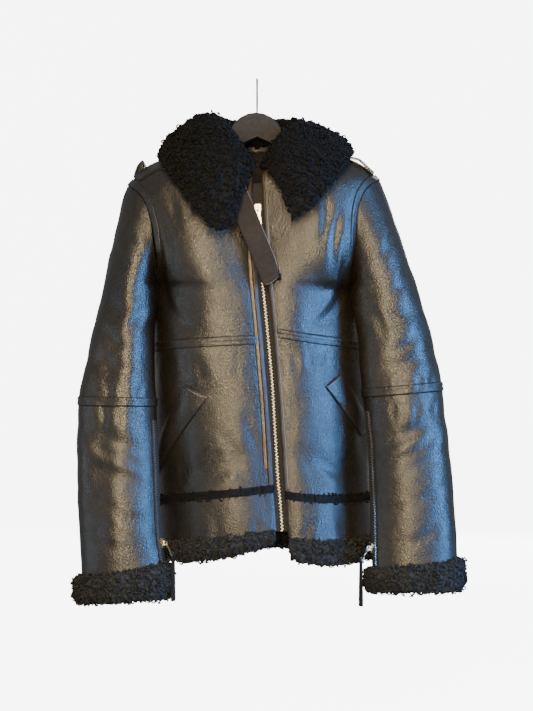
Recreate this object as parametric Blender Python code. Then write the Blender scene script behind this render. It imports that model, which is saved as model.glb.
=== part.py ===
"""A black shearling aviator jacket hanging on a coat hanger, one named solid for each cut piece.

Frame: +X is the viewer's right, -Y is the front of the jacket, +Z is up. The origin is the
underside of the hook's top, where a rail carries the hanger. The tables below are in
millimetres. "right" and "left" are the wearer's sides, so right is at -X.
"""
import math

import bmesh
import bpy
import numpy as np
from mathutils import Matrix, Vector

MM = 0.001

# Driving sizes, mm
SEAM_GAP = 0.3
HALF_GAP = SEAM_GAP / 2
TYPICAL_ROW = 250.0
SEAM_SORT = (0.31, 0.17, 0.93)  # a direction that no seam runs square to
STEP_LEVEL = 0.02          # steps over which a surface's slope is taken
STEP_SHARE = 0.004
WALL = 4.0                 # leather with its clipped wool
TAPE_THICK = 1.6
STRAP_THICK = 2.4
BINDING_WIDTH = 14.0
BINDING_END = 7            # the level where the strip runs under the sleeve
NECK_LEVEL = 4             # the foot of the neckline
ARMHOLE_STEPS = 10         # levels from the shoulder point to the armpit
CHEST_LEVEL = 11
TRIM_LEVEL = 13
HEM_LEVEL = 14
TRIM_UP = 0.065            # half the trim's height as a share of the level above
TRIM_DOWN = 0.095          # and of the level below
PLACKET_FOOT = TRIM_LEVEL - TRIM_UP - 0.005
WELT_RIGHT = 9.0
WELT_LEFT = 6.5
ZIP_TAPE_HALF = 14.0
ZIP_TAPE_THICK = 1.0
TAPE_BACK = WALL + 0.9     # the tape lies this far behind the fronts' outer face
CHAIN_HALF = 3.2
CHAIN_THICK = 2.6
COLLAR_LEATHER = 2.0
COLLAR_FUR = 14.0
HANGER_THICK = 12.0
HOOK_WIRE = 1.7
HOOK_RADIUS = 20.0

# Columns of the panel tables: the row's inner end (zip edge, neckline or centre back), the angle
# at which the row leaves it and how far it holds that angle, the same at the outer end, and how
# far the row bows up, most at its middle, or farther out on the shoulder.
# Columns: x, y, z, turn, reach, turn_out, reach_out, bow
FRONT_RIGHT = (
    (-70, 0, -115, 0, 45, 0, 45, 17),
    (-63, -22, -123, 8, 45, 26, 40, 10),
    (-50, -40, -135, 14, 45, 38, 40, 8),
    (-30, -54, -148, 16, 50, 46, 44, 5),
    (-8, -64, -162, 16, 55, 50, 48, 2),
    (-8, -70, -195, 18, 60, 55, 54, 0),
    (-6, -75, -235, 20, 70, 60, 58, 0),
    (-3, -79, -275, 22, 80, 66, 62, 0),
    (-1, -82, -312, 24, 90, 72, 70, 0),
    (1, -84, -342, 25, 95, 80, 80, 0),
    (3, -86, -366, 26, 100, 88, 85, 0),
    (11, -89, -448, 27, 105, 90, 92, 0),
    (23, -92, -600, 28, 105, 90, 102, 0),
    (29, -93, -697, 28, 100, 90, 104, 0),
    (35, -93, -768, 27, 95, 90, 104, -4),
)
FRONT_LEFT = (
    (70, 0, -115, 0, 45, 0, 45, 14),
    (62, -22, -123, 8, 45, 26, 40, 10),
    (48, -40, -135, 12, 45, 38, 40, 8),
    (28, -54, -148, 14, 48, 46, 42, 5),
    (9, -64, -162, 14, 50, 50, 44, 2),
    (9, -70, -195, 15, 50, 55, 48, 0),
    (11, -75, -235, 16, 50, 60, 50, 0),
    (14, -79, -275, 17, 50, 66, 54, 0),
    (16, -82, -312, 18, 50, 72, 58, 0),
    (18, -84, -342, 19, 50, 80, 62, 0),
    (20, -86, -366, 20, 50, 88, 66, 0),
    (27, -89, -435, 21, 50, 90, 68, -3),
    (40, -92, -600, 22, 50, 90, 70, -3),
    (47, -93, -707, 22, 50, 90, 72, -6),
    (52, -93, -779, 21, 50, 90, 72, -9),
)
BACK_RIGHT = (
    (-70, 0, -115, 0, 45, 0, 45, 17),
    (-66, 26, -117, 10, 45, 24, 40, 10),
    (-52, 46, -118.5, 12, 45, 34, 40, 8),
    (-30, 61, -119.5, 8, 60, 40, 44, 6),
    (0, 68, -120, 0, 70, 46, 50, 5),
    (-2, 80, -150, 0, 75, 52, 52, 0),
    (-4, 90, -190, 0, 80, 58, 55, 0),
    (-5, 97, -232, 0, 85, 66, 60, 0),
    (-5, 101, -275, 0, 88, 74, 65, 0),
    (-5, 103, -318, 0, 90, 82, 70, 0),
    (-5, 104, -358, 0, 90, 90, 75, 0),
    (-1, 105, -455, 0, 90, 90, 80, 0),
    (7, 106, -602, 0, 90, 90, 84, 0),
    (10, 106, -712, 0, 90, 90, 85, 0),
    (10, 105, -785, 0, 90, 90, 85, 0),
)

# The armhole, then the side seam: one row for each level of the panels.
# Columns: x_front, y_front, z_front, x_back, y_back, z_back
SIDE_RIGHT = (
    (-223, 0, -183, -223, 0, -183),
    (-214, -22, -188, -217, 24, -189),
    (-203, -39, -197, -210, 42, -201),
    (-192, -50, -211, -202, 54, -217),
    (-185, -57, -230, -195.5, 61, -237),
    (-179.5, -62, -252, -190, 66, -259),
    (-176, -63.5, -277, -185, 67.5, -283),
    (-173.5, -58, -301, -180.5, 64, -307),
    (-171.5, -44, -324, -176.5, 53, -330),
    (-170.5, -21, -343, -173, 33, -347),
    (-170, 8, -356, -170, 8, -356),
    (-177, 18, -462, -177, 18, -462),
    (-176, 25, -604, -176, 25, -604),
    (-174, 25, -723, -174, 25, -723),
    (-174, 25, -792, -174, 25, -792),
)
SIDE_LEFT = (
    (212, 0, -175, 212, 0, -175),
    (203, -22, -178, 207, 24, -181),
    (192, -38, -185, 200, 42, -193),
    (182, -49, -198, 192.5, 54, -210),
    (175, -56, -215, 186, 61, -231),
    (171, -61, -236, 181, 66, -254),
    (168.5, -63.5, -262, 176, 67.5, -280),
    (166.5, -59, -290, 171.5, 64, -306),
    (165, -45, -318, 167.5, 53, -331),
    (163.5, -20, -345, 164, 34, -351),
    (162, 10, -362, 162, 10, -362),
    (176, 22, -459, 176, 22, -459),
    (189, 28, -604, 189, 28, -604),
    (194, 30, -712, 194, 30, -712),
    (196, 30, -777, 196, 30, -777),
)

# Each row is one ring of a sleeve: its outer and inner points seen from the front, the depth of
# its middle and half its thickness from front to back.
# Columns: x_outer, z_outer, x_inner, z_inner, y_middle, half_depth
SLEEVE_RIGHT = (
    (-223, -183, -170, -356, 4, 66),
    (-232, -207, -171, -358.5, 0, 66),
    (-241, -245, -171.5, -362, -7, 66),
    (-252, -294, -172, -368, -14, 65),
    (-262, -346, -172.5, -382, -22, 63),
    (-272, -396, -173, -412, -30, 62),
    (-284, -456, -173, -464, -37, 61),
    (-294, -507, -173, -515, -43, 60),
    (-301, -551, -171, -553, -47, 59),
    (-304, -617, -168, -617, -54, 57),
    (-303, -685, -165, -685, -61, 54),
    (-301, -753, -163, -748, -68, 50),
    (-299, -805, -160, -790, -73, 46),
    (-297, -847, -156, -824, -76, 43),
)
SLEEVE_LEFT = (
    (212, -175, 162, -362, 4, 66),
    (222, -200, 163, -365, 0, 66),
    (233, -232, 164, -369, -6, 66),
    (245.5, -270, 165, -375, -12, 65),
    (260, -314, 166.5, -387, -18, 63),
    (278, -371, 168.5, -412, -27, 62),
    (294, -422, 171.5, -446, -34, 61),
    (308, -482, 175, -493, -41, 60),
    (315, -526, 179, -538, -45, 59),
    (323, -592, 186, -600, -52, 57),
    (329, -655, 190, -662, -59, 54),
    (334, -722, 193, -725, -66, 50),
    (337, -775, 194, -783, -72, 46),
    (338, -818, 195, -833, -76, 43),
)
ELBOW_RING = 8
CUFF_RING = 13
ARMHOLE_BLEND_RINGS = 4.0
CUFF_BOTTOM = {"right": (-893, -886), "left": (-873, -874)}

# The collar's section at stations round the neck, from the right front corner to the left one:
# the panel and the level at which it is sewn to the neckline, where it folds over, and its edge.
# Columns: panel, level, x_roll, y_roll, z_roll, x_edge, y_edge, z_edge
COLLAR = (
    ("front_right", 4.0, -5, -86, -160, -38, -121, -252),
    ("front_right", 3.5, -19, -83, -146, -66, -125, -262),
    ("front_right", 3.0, -31, -78, -132, -95, -121, -235),
    ("front_right", 2.0, -56, -52, -98, -130, -94, -188),
    ("front_right", 0.7, -76, -14, -78, -157, -43, -148),
    ("back_right", 0.6, -82, 22, -72, -163, 24, -131),
    ("back_right", 2.0, -66, 62, -76, -120, 96, -162),
    ("back_right", 3.0, -34, 84, -78, -62, 128, -184),
    ("back_right", 4.0, 0, 92, -75, 0, 138, -188),
    ("back_left", 3.0, 34, 84, -76, 62, 128, -184),
    ("back_left", 2.0, 64, 62, -79, 118, 96, -164),
    ("back_left", 0.6, 74, 22, -84, 159, 24, -127),
    ("front_left", 0.7, 66, -14, -90, 155, -42, -140),
    ("front_left", 2.0, 50, -52, -104, 129, -92, -178),
    ("front_left", 3.0, 30, -78, -134, 94, -121, -220),
    ("front_left", 4.0, 13, -86, -158, 62, -124, -246),
)
FUR_START = 0.05
FUR_EDGE = 0.4             # the wool's thickness at its edges, as a share of its middle's
COLLAR_SEAT = 1.1          # the collar starts this far above the neckline

# Middle of the zip's teeth, top to bottom
# Columns: z, x, y
ZIP_LINE = (
    (-165, 0, -66),
    (-218, 1, -73),
    (-280, 5, -79),
    (-347, 9, -84.5),
    (-393, 14, -87),
    (-456, 20, -89),
    (-512, 25.5, -90.5),
    (-607, 31, -92),
    (-689, 36, -93),
    (-729, 40, -93),
    (-772, 43, -93),
)
ZIP_SLIDER_Z = -226.0
ZIP_STOP_Z = -766.0

# The largest soft folds: where they run on a panel seen from the front, and how deep they are.
# Columns: x_from, z_from, x_to, z_to, width, depth
FOLDS_FRONT = (
    (-165, -215, -158, -330, 13, -5.0),
    (-150, -200, -140, -300, 12, -3.5),
    (-60, -500, -140, -440, 26, 4.0),
    (-20, -640, -150, -690, 24, -4.0),
    (130, -215, 138, -330, 13, -5.0),
    (110, -200, 118, -290, 12, -3.0),
    (90, -420, 150, -400, 16, -4.0),
    (70, -640, 170, -680, 22, -3.5),
)
FOLDS_BACK = (
    (-150, -230, -130, -330, 16, -5.0),
    (140, -230, 122, -330, 16, -5.0),
    (-110, -420, 60, -470, 26, -4.0),
    (-60, -640, 130, -600, 26, -4.0),
)
FOLDS_SLEEVE = (
    (-300, -590, -190, -640, 15, -5.0),
    (-296, -655, -190, -690, 16, -4.0),
    (-290, -480, -200, -505, 14, -4.0),
    (-262, -380, -190, -420, 16, -3.5),
    (300, -470, 205, -500, 14, -4.5),
    (320, -575, 215, -620, 15, -5.5),
    (322, -640, 220, -670, 15, -4.0),
    (276, -395, 190, -420, 16, -3.5),
)

# A pocket's four corners on a front: across from the zip edge along the cloth, then down.
POCKETS = {
    "right": ((143, -523), (104, -543), (247, -684), (247, -631)),
    "left": ((87, -526), (122, -505), (197, -590), (165, -612)),
}
POCKET_LIFT = 0.8
POCKET_THICK = 2.5
POCKET_PUFF = 4.0

# The right shoulder strap lies over the shoulder. Its columns are shares of the shoulder seam from
# the neck, each with how far the strap's back half stands up there: 0 lies flat, 1 is upright.
STRAP_RIGHT = (
    (0.5, 0.0), (0.6, 0.0), (0.69, 0.0), (0.735, 0.05), (0.765, 0.9), (0.79, 1.0), (0.83, 0.95),
    (0.865, 0.8), (0.893, 0.65),
)
STRAP_FRONT_LEVELS = (1.1, 0.75, 0.4, 0.0)
STRAP_BACK_LEVELS = (0.0, 0.3, 0.6, 0.85)
STRAP_LEVEL_RUN = 21.0     # mm of cloth to one level there
STRAP_UPRIGHT = (0.0, 0.3, 0.95)
STRAP_FLARE = 0.035        # how much farther out the upright edge reaches
# The left one stands clear of the shoulder: shares, and how high its underside is there.
STRAP_LEFT = (
    (0.56, 3.2), (0.63, 5.5), (0.69, 7.2), (0.73, 6.2), (0.77, 4.4), (0.81, 3.0), (0.85, 2.2),
    (0.893, 1.7),
)
STRAP_LEFT_HALF = 17.0
HANGER_REACH = {"right": 186, "left": 160}
HANGER_UNDER = 5.8
HANGER_ARM = 26.0
HANGER_TOP = -56.0
SLIDER_HEIGHT = 17.0
ELBOW_EDGES = (ELBOW_RING - 0.155, ELBOW_RING + 0.115)
ARMHOLE_INSET = 0.006      # of a ring, at the armhole seam
SHOULDER_INSET = 0.012     # of a level, at the shoulder seam
SEAM_INSET = 0.003         # of a level, at the chest seam
RING_INSET = 0.004         # of a ring, at the elbow seam
LOWER_RINGS = np.linspace(8.5, CUFF_RING, 8)

# The zip up the inside of each cuff: where it lies round the sleeve, and its slider
CUFF_TAPE_TURNS = (0.42, 0.45, 0.48)
CUFF_CHAIN_TURNS = (0.4256, 0.4344)
CUFF_CHAIN_THICK = 1.8
CUFF_TAPE_THICK = 1.0
CUFF_ZIP_END = 12.9
CUFF_SLIDERS = {"right": (0.456, -790, 1.0), "left": (0.46, -798, 0.2)}
CUFF_SLIDER_THICK = 4.5
CUFF_PULL_LEAN = 35.0      # degrees that a pull stands out, clear of the cuff's wool
CUFF_PULL_DROP = 24.8
PULLER_BOTTOM = {"right": -887, "left": -896}
LOOP_RADII = (1.7, 3.3)    # the leather end's loop round the foot of its pull
LOOP_HALF = 3.6

# A zip slider: half its width down its height, and the ring on it that holds the pull
SLIDER_SHAPE = ((8.5, 4.0), (7.0, 5.2), (0.0, 5.4), (-6.0, 4.2), (-8.5, 3.4))
SLIDER_THICK = 6.0
RING_OUTER = 4.2
RING_INNER = 2.3
RING_HALF = 1.5
RING_RAISE = 2.6           # the ring's middle above the slider's face
PULL_HALF_THICK = 0.7
MAIN_PULL_SLANT = 8.0      # degrees that the main pull hangs off plumb

# Strap at the throat, down its middle, and its half width
STRAP_LINE = (
    (-54, -76.4, -166),
    (-40, -94, -190),
    (-26, -99, -219),
    (-9, -103, -262),
    (9, -106, -305),
    (24, -108, -341),
)
STRAP_HALF = 18.0

COLOURS = {
    "leather": ((0.022, 0.021, 0.021, 1), 0.38, 0.0),
    "strap": ((0.045, 0.038, 0.036, 1), 0.5, 0.0),
    "fur": ((0.008, 0.008, 0.009, 1), 0.95, 0.0),
    "cloth": ((0.012, 0.012, 0.013, 1), 0.9, 0.0),
    "metal": ((0.78, 0.72, 0.58, 1), 0.3, 1.0),
    "steel": ((0.5, 0.5, 0.5, 1), 0.35, 1.0),
    "hanger": ((0.03, 0.03, 0.028, 1), 0.6, 0.0),
}


def clear_scene():
    for item in list(bpy.data.objects):
        bpy.data.objects.remove(item, do_unlink=True)


def make_material(name):
    colour, roughness, metallic = COLOURS[name]
    material = bpy.data.materials.new(name)
    material.use_nodes = True
    shader = material.node_tree.nodes["Principled BSDF"]
    shader.inputs["Base Color"].default_value = colour
    shader.inputs["Roughness"].default_value = roughness
    shader.inputs["Metallic"].default_value = metallic
    return material


def add_object(name, data, finish):
    item = bpy.data.objects.new(name, data)
    PARTS.objects.link(item)
    data.materials.append(MATERIALS[finish])
    return item


def mesh_from(name, bm, finish):
    """A closed mesh object whose faces point out."""
    bmesh.ops.recalc_face_normals(bm, faces=bm.faces)
    data = bpy.data.meshes.new(name)
    bm.to_mesh(data)
    bm.free()
    data.shade_smooth()
    data.set_sharp_from_angle(angle=math.radians(40))
    return add_object(name, data, finish)


# ---- curves and surfaces -------------------------------------------------------------------

def smooth(table, at):
    """Reads a table between its rows, along a smooth curve through them."""
    table = np.asarray(table, float)
    at = np.clip(np.asarray(at, float), 0, len(table) - 1)
    slopes = np.gradient(table, axis=0)
    low = np.minimum(at.astype(int), len(table) - 2)
    t = (at - low)[..., None]
    a, b = table[low], table[low + 1]
    return (
        a * (2 * t**3 - 3 * t**2 + 1)
        + slopes[low] * (t**3 - 2 * t**2 + t)
        + b * (3 * t**2 - 2 * t**3)
        + slopes[low + 1] * (t**3 - t**2)
    )


def smoothstep(t):
    t = np.clip(t, 0, 1)
    return t * t * (3 - 2 * t)


def unit(vectors):
    length = np.linalg.norm(vectors, axis=-1, keepdims=True)
    return vectors / np.maximum(length, 1e-9)


def bezier(points, t):
    """Points along one cubic Bezier curve."""
    t = np.asarray(t, float)[:, None]
    a, b, c, d = points
    return (1 - t) ** 3 * a + 3 * (1 - t) ** 2 * t * b + 3 * (1 - t) * t**2 * c + t**3 * d


def along(points, shares):
    """Points at shares of the length of a polyline."""
    steps = np.linalg.norm(np.diff(points, axis=0), axis=1)
    run = np.concatenate([[0], np.cumsum(steps)])
    at = np.asarray(shares, float) * run[-1]
    return np.stack([np.interp(at, run, points[:, i]) for i in range(3)], axis=1), run[-1]


def zip_point(z):
    """Middle of the teeth at a height: x and y."""
    table = np.asarray(ZIP_LINE, float)
    steps = np.interp(-np.asarray(z, float), -table[:, 0], np.arange(len(table)))
    return smooth(table[:, 1:], steps)


def side_point(side_table, facing, level):
    """The outer end of a panel's row: on the armhole, or on the side seam below it."""
    table = np.asarray(side_table, float)
    table = table[:, :3] if facing < 0 else table[:, 3:]
    if level <= ARMHOLE_STEPS:
        return smooth(table[: ARMHOLE_STEPS + 1], level)
    return smooth(table[ARMHOLE_STEPS:], level - ARMHOLE_STEPS)


def panel_row(table, side_table, side, facing, level):
    """One row across a panel, as 120 points from its inner to its outer end."""
    x, y, z, turn, reach, turn_out, reach_out, bow = smooth(table, level)
    outer = side_point(side_table, facing, level)
    turn, turn_out = math.radians(turn), math.radians(turn_out)
    start = np.array([x, y])
    end = outer[:2]
    leave = np.array([side * math.cos(turn), facing * math.sin(turn)])
    arrive = np.array([side * math.cos(turn_out), -facing * math.sin(turn_out)])
    t = np.linspace(0, 1, 120)
    plan = bezier((start, start + reach * leave, end - reach_out * arrive, end), t)
    shoulder = smoothstep(2.0 - level)
    rise = shoulder * 6.75 * t**2 * (1 - t) + (1 - shoulder) * 4 * t * (1 - t)
    height = z + (outer[2] - z) * t + bow * rise
    return np.column_stack([plan, height])


def fold_depth(points, folds):
    """How far the folds of a table move each point, seen from the front."""
    depth = np.zeros(points.shape[:-1])
    for x_from, z_from, x_to, z_to, width, height in folds:
        start = np.array([x_from, z_from])
        run = np.array([x_to, z_to]) - start
        length = np.linalg.norm(run)
        offset = points[..., [0, 2]] - start
        down = (offset @ run) / length
        across = (offset[..., 0] * run[1] - offset[..., 1] * run[0]) / length
        share = np.clip(down / length, 0, 1)
        beyond = np.maximum(np.abs(down - length / 2) - length / 2, 0)
        fade = np.exp(-(beyond / width) ** 2) * (0.35 + 0.65 * np.sin(np.pi * share))
        depth += height * np.exp(-(across / width) ** 2) * fade
    return depth


def lean(normals, target, share):
    """Turns normals towards a target by a share of the way."""
    share = share[..., None]
    return unit(normals * (1 - share) + unit(target) * share)


def surface_normals(surface, rows, columns):
    """Normals of a surface that is a function of row and column."""
    rows, columns = np.asarray(rows, float), np.asarray(columns, float)
    down = surface(rows + STEP_LEVEL, columns) - surface(np.maximum(rows - STEP_LEVEL, 0), columns)
    across = surface(rows, columns + STEP_SHARE) - surface(rows, columns - STEP_SHARE)
    return unit(np.cross(down, across))


# ---- torso ---------------------------------------------------------------------------------

PANELS = {
    "front_right": (FRONT_RIGHT, SIDE_RIGHT, -1, -1),
    "front_left": (FRONT_LEFT, SIDE_LEFT, 1, -1),
}


def mirrored(table):
    return tuple((-row[0] + 2 * CENTRE_BACK[i],) + row[1:] for i, row in enumerate(table))


CENTRE_BACK = [0, 0, 0, 0] + [row[0] for row in BACK_RIGHT[4:]]
PANELS["back_right"] = (BACK_RIGHT, SIDE_RIGHT, -1, 1)
PANELS["back_left"] = (mirrored(BACK_RIGHT), SIDE_LEFT, 1, 1)


def armhole_normals(side):
    """The direction in which both sides of an armhole seam are thickened, a mitre between the
    body's normal and the sleeve's: one row for each level, over the front and over the back."""
    levels = np.arange(ARMHOLE_STEPS + 1)
    turns = np.linspace(0, 1, 2 * ARMHOLE_STEPS + 1)
    on_sleeve = sleeve_normals(side, [0.0], turns)[0]
    on_sleeve *= 1 if side == "right" else -1
    sums = []
    for face, over_face in (("front", on_sleeve), ("back", on_sleeve[::-1])):
        body = panel_normals(f"{face}_{side}", levels, [(1, 0)])[:, 0]
        sums.append(body + over_face[: ARMHOLE_STEPS + 1])
    # Both faces share the shoulder point and the armpit.
    for end in (0, -1):
        sums[0][end] = sums[1][end] = (sums[0][end] + sums[1][end]) / 2
        sums[0][end][1] = sums[1][end][1] = 0
    return {"front": unit(sums[0]), "back": unit(sums[1])}


def shares_of(stations, length):
    """A station is a share of a row's length and a distance in mm to add to it."""
    stations = np.asarray(stations, float)
    return stations[:, 0] + stations[:, 1] / length


def panel_surface(name, levels, stations):
    """Points of a torso panel, a row for each level."""
    table, side_table, side, facing = PANELS[name]
    points = []
    for level in levels:
        row = panel_row(table, side_table, side, facing, level)
        points.append(along(row, shares_of(stations, along(row, [0])[1]))[0])
    return np.array(points)


def panel_normals(name, levels, stations):
    """Outward normals of a torso panel, whatever grid it is cut into."""
    table, side_table, side, facing = PANELS[name]
    normals = []
    for level in levels:
        low, high = max(level - STEP_LEVEL, 0), min(level + STEP_LEVEL, HEM_LEVEL)
        row_low = panel_row(table, side_table, side, facing, low)
        row_high = panel_row(table, side_table, side, facing, high)
        row = panel_row(table, side_table, side, facing, level)
        shares = shares_of(stations, along(row, [0])[1])
        down = along(row_high, shares)[0] - along(row_low, shares)[0]
        across = along(row, shares + STEP_SHARE)[0] - along(row, shares - STEP_SHARE)[0]
        normals.append(np.cross(across, down) * side * facing)
    return unit(np.array(normals))


def panel(name, levels, stations, lift=0.0, depth=WALL, folds=True):
    """Outer and inner points of a slab on a torso panel, lifted clear of it and depth thick."""
    levels = np.asarray(levels, float)
    points = panel_surface(name, levels, stations)
    normals = panel_normals(name, levels, stations)
    side, facing = PANELS[name][2], PANELS[name][3]
    if folds:
        table = FOLDS_FRONT if facing < 0 else FOLDS_BACK
        points = points + normals * fold_depth(points, table)[..., None]
    share = shares_of(stations, TYPICAL_ROW)[None, :]
    level = levels[:, None]
    outer_end = smoothstep((share - 0.9) / 0.1)
    # Down the side seam the front and the back share an edge square to the side.
    normals = lean(normals, normals * np.array([1.0, 0.0, 1.0]), outer_end)
    # At the armhole the wall is mitred to meet the sleeve's.
    face, wearer_side = name.split("_")
    mitre = smooth(ARMHOLE_NORMALS[wearer_side][face], np.clip(levels, 0, ARMHOLE_STEPS))[:, None, :]
    normals = lean(normals, mitre, outer_end * smoothstep((ARMHOLE_STEPS + 0.25 - level) / 0.2))
    # At the shoulder seam they share an upright edge.
    at_seam = smoothstep(1 - level / 0.6) * (1 - outer_end)
    normals = lean(normals, normals * np.array([1.0, 0.0, 1.0]), at_seam)
    outer = points + normals * lift
    return outer, outer - normals * depth


def wall(name, patches, finish):
    """One closed solid from patches of outer and inner points. Patches meet where points coincide."""
    bm = bmesh.new()
    pairs = {}
    edges = set()

    def pair(outer, inner):
        key = tuple(np.round(outer, 3))
        if key not in pairs:
            pairs[key] = (bm.verts.new(Vector(outer) * MM), bm.verts.new(Vector(inner) * MM))
        return key

    for outer, inner in patches:
        rows, columns = outer.shape[:2]
        keys = [[pair(outer[i, j], inner[i, j]) for j in range(columns)] for i in range(rows)]
        for i in range(rows - 1):
            for j in range(columns - 1):
                a, b, c, d = keys[i][j], keys[i][j + 1], keys[i + 1][j + 1], keys[i + 1][j]
                # The same diagonal throughout keeps a lifted layer parallel to what it lies on.
                for loop in ((a, b, c), (a, c, d)):
                    bm.faces.new([pairs[key][0] for key in loop])
                    bm.faces.new([pairs[key][1] for key in reversed(loop)])
                for edge in ((a, b), (b, c), (c, d), (d, a)):
                    edges.add(edge)
    for first, second in sorted(edges):
        if (second, first) in edges:
            continue
        loop = [pairs[second][0], pairs[first][0], pairs[first][1], pairs[second][1]]
        # Both sides of a seam take the same diagonal, whichever way round they run.
        if np.dot(first, SEAM_SORT) > np.dot(second, SEAM_SORT):
            loop = loop[1:] + loop[:1]
        bm.faces.new(loop[:3])
        bm.faces.new([loop[0], loop[2], loop[3]])
    return mesh_from(name, bm, finish)


def loft(name, rings, finish, closed=False):
    """A solid through closed sections. Its ends are capped, or joined where closed."""
    bm = bmesh.new()
    loops = [[bm.verts.new(Vector(point) * MM) for point in ring] for ring in rings]
    count = len(loops[0])
    pairs = list(zip(loops, loops[1:] + loops[:1])) if closed else list(zip(loops, loops[1:]))
    for first, second in pairs:
        for i in range(count):
            j = (i + 1) % count
            bm.faces.new([first[i], first[j], second[j], second[i]])
    if not closed:
        bm.faces.new(loops[0])
        bm.faces.new(list(reversed(loops[-1])))
    bmesh.ops.triangulate(bm, faces=[face for face in bm.faces if len(face.verts) > 4])
    return mesh_from(name, bm, finish)


def front_stations(count):
    """Columns of a front: the zip welt, the body of the panel and the armhole binding."""
    middle = [(share, 0) for share in np.linspace(0.12, 0.86, count)]
    return [(0, HALF_GAP), (0, WELT_RIGHT)] + middle + OUTER_STATIONS


CHEST_TAPE = (CHEST_LEVEL - 0.078, CHEST_LEVEL + 0.042)
# Columns shared by a panel's outer end and the armhole binding on it
OUTER_STATIONS = [(1, -BINDING_WIDTH - 1), (1, -BINDING_WIDTH / 2), (1, -2.0), (1, -HALF_GAP)]


def back_stations(count):
    """Columns of half the back, from its middle to the armhole binding."""
    return [(share, 0) for share in np.linspace(0, 0.86, count)] + OUTER_STATIONS


def back_patches(levels, stations, **options):
    """Both halves of the back, their columns running the same way round the body."""
    right = panel("back_right", levels, stations, **options)
    left = panel("back_left", levels, stations, **options)
    joined = np.asarray(levels) >= NECK_LEVEL
    for one, other in zip(right, left):
        middle = (one[joined, 0] + other[joined, 0]) / 2
        one[joined, 0] = middle
        other[joined, 0] = middle
    return [right, tuple(points[:, ::-1] for points in left)]


def body_levels():
    """Levels of the upper panels, the lower panels, the hem bands and the fur trim between them."""
    chest = [10.4, CHEST_TAPE[0], CHEST_LEVEL - SEAM_INSET]
    upper = np.concatenate([[SHOULDER_INSET], np.arange(1, ARMHOLE_STEPS + 1), chest])
    below_chest = [CHEST_LEVEL + SEAM_INSET, CHEST_TAPE[1]]
    lower = np.concatenate([below_chest, np.linspace(11.25, 12.8, 6), [TRIM_LEVEL - TRIM_UP]])
    band = np.linspace(TRIM_LEVEL + TRIM_DOWN, HEM_LEVEL, 4)
    trim = np.array([TRIM_LEVEL - TRIM_UP + 0.004, TRIM_LEVEL, TRIM_LEVEL + TRIM_DOWN - 0.006])
    return upper, lower, band, trim


def build_fronts():
    upper, lower, band, trim = body_levels()
    for side in ("right", "left"):
        name = "front_" + side
        stations = front_stations(5)
        wall(f"front_{side}_upper", [panel(name, upper, stations)], "leather")
        wall(f"front_{side}_lower", [panel(name, lower, stations)], "leather")
        wall(f"hem_band_front_{side}", [panel(name, band, stations)], "leather")
        wall(f"hem_trim_fur_{side}", [panel(name, trim, stations, lift=2.0, depth=WALL + 2)], "fur")
        on_tape = stations[2:]
        lift = SEAM_GAP + TAPE_THICK
        tape = [CHEST_TAPE[0], CHEST_LEVEL, CHEST_TAPE[1]]
        wall(f"chest_tape_{side}", [panel(name, tape, on_tape, lift=lift, depth=TAPE_THICK)], "leather")


def build_back():
    upper, lower, band, trim = body_levels()
    stations = back_stations(7)
    wall("back_upper", back_patches(upper, stations), "leather")
    wall("back_lower", back_patches(lower, stations), "leather")
    wall("hem_band_back", back_patches(band, stations), "leather")
    wall("hem_trim_fur_back", back_patches(trim, stations, lift=2.0, depth=WALL + 2), "fur")
    lift = SEAM_GAP + TAPE_THICK
    tape = [CHEST_TAPE[0], CHEST_LEVEL, CHEST_TAPE[1]]
    wall("chest_tape_back", back_patches(tape, stations, lift=lift, depth=TAPE_THICK), "leather")


def build_plackets():
    """The folded and stitched edges beside the zip."""
    levels = np.concatenate([np.arange(3, CHEST_LEVEL + 1), np.linspace(11.25, 12.75, 6), [PLACKET_FOOT]])
    for side, width in (("right", WELT_RIGHT), ("left", WELT_LEFT)):
        stations = [(0, HALF_GAP), (0, width / 2), (0, width)]
        points = panel("front_" + side, levels, stations, lift=SEAM_GAP + TAPE_THICK, depth=TAPE_THICK)
        wall(f"placket_{side}", [points], "leather")


def pocket_levels(name, across, down):
    """The level at which a front, so far from its zip edge, is at a height."""
    levels = np.linspace(CHEST_LEVEL, TRIM_LEVEL, 60)
    heights = [panel_surface(name, [level], [(0, across)])[0, 0, 2] for level in levels]
    return np.interp(-down, -np.array(heights), levels)


def cloth_patch(name, corners, columns, rows, lift, depth):
    """A slab on a front between four corners, each so far across the cloth and at a height."""
    corners = np.array([(across, pocket_levels(name, across, down)) for across, down in corners])
    outer, inner = [], []
    for v in rows:
        top = corners[0] + (corners[1] - corners[0]) * np.asarray(columns)[:, None]
        bottom = corners[3] + (corners[2] - corners[3]) * np.asarray(columns)[:, None]
        line = top + (bottom - top) * v
        points = [panel(name, [level], [(0, across)], lift=lift, depth=depth) for across, level in line]
        outer.append([pair[0][0, 0] for pair in points])
        inner.append([pair[1][0, 0] for pair in points])
    return np.array(outer), np.array(inner)


def build_pockets():
    for side, corners in POCKETS.items():
        name = "front_" + side
        columns = np.linspace(0, 1, 5)
        rows = np.linspace(0, 1, 11)
        outer, inner = cloth_patch(name, corners, columns, rows, POCKET_LIFT + POCKET_THICK, POCKET_THICK)
        puff = np.outer(np.sin(np.pi * rows) ** 0.5, np.sin(np.pi * columns)) * POCKET_PUFF
        outer = outer + unit(outer - inner) * puff[..., None]
        wall(f"pocket_welt_{side}", [(outer, inner)], "leather")


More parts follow.
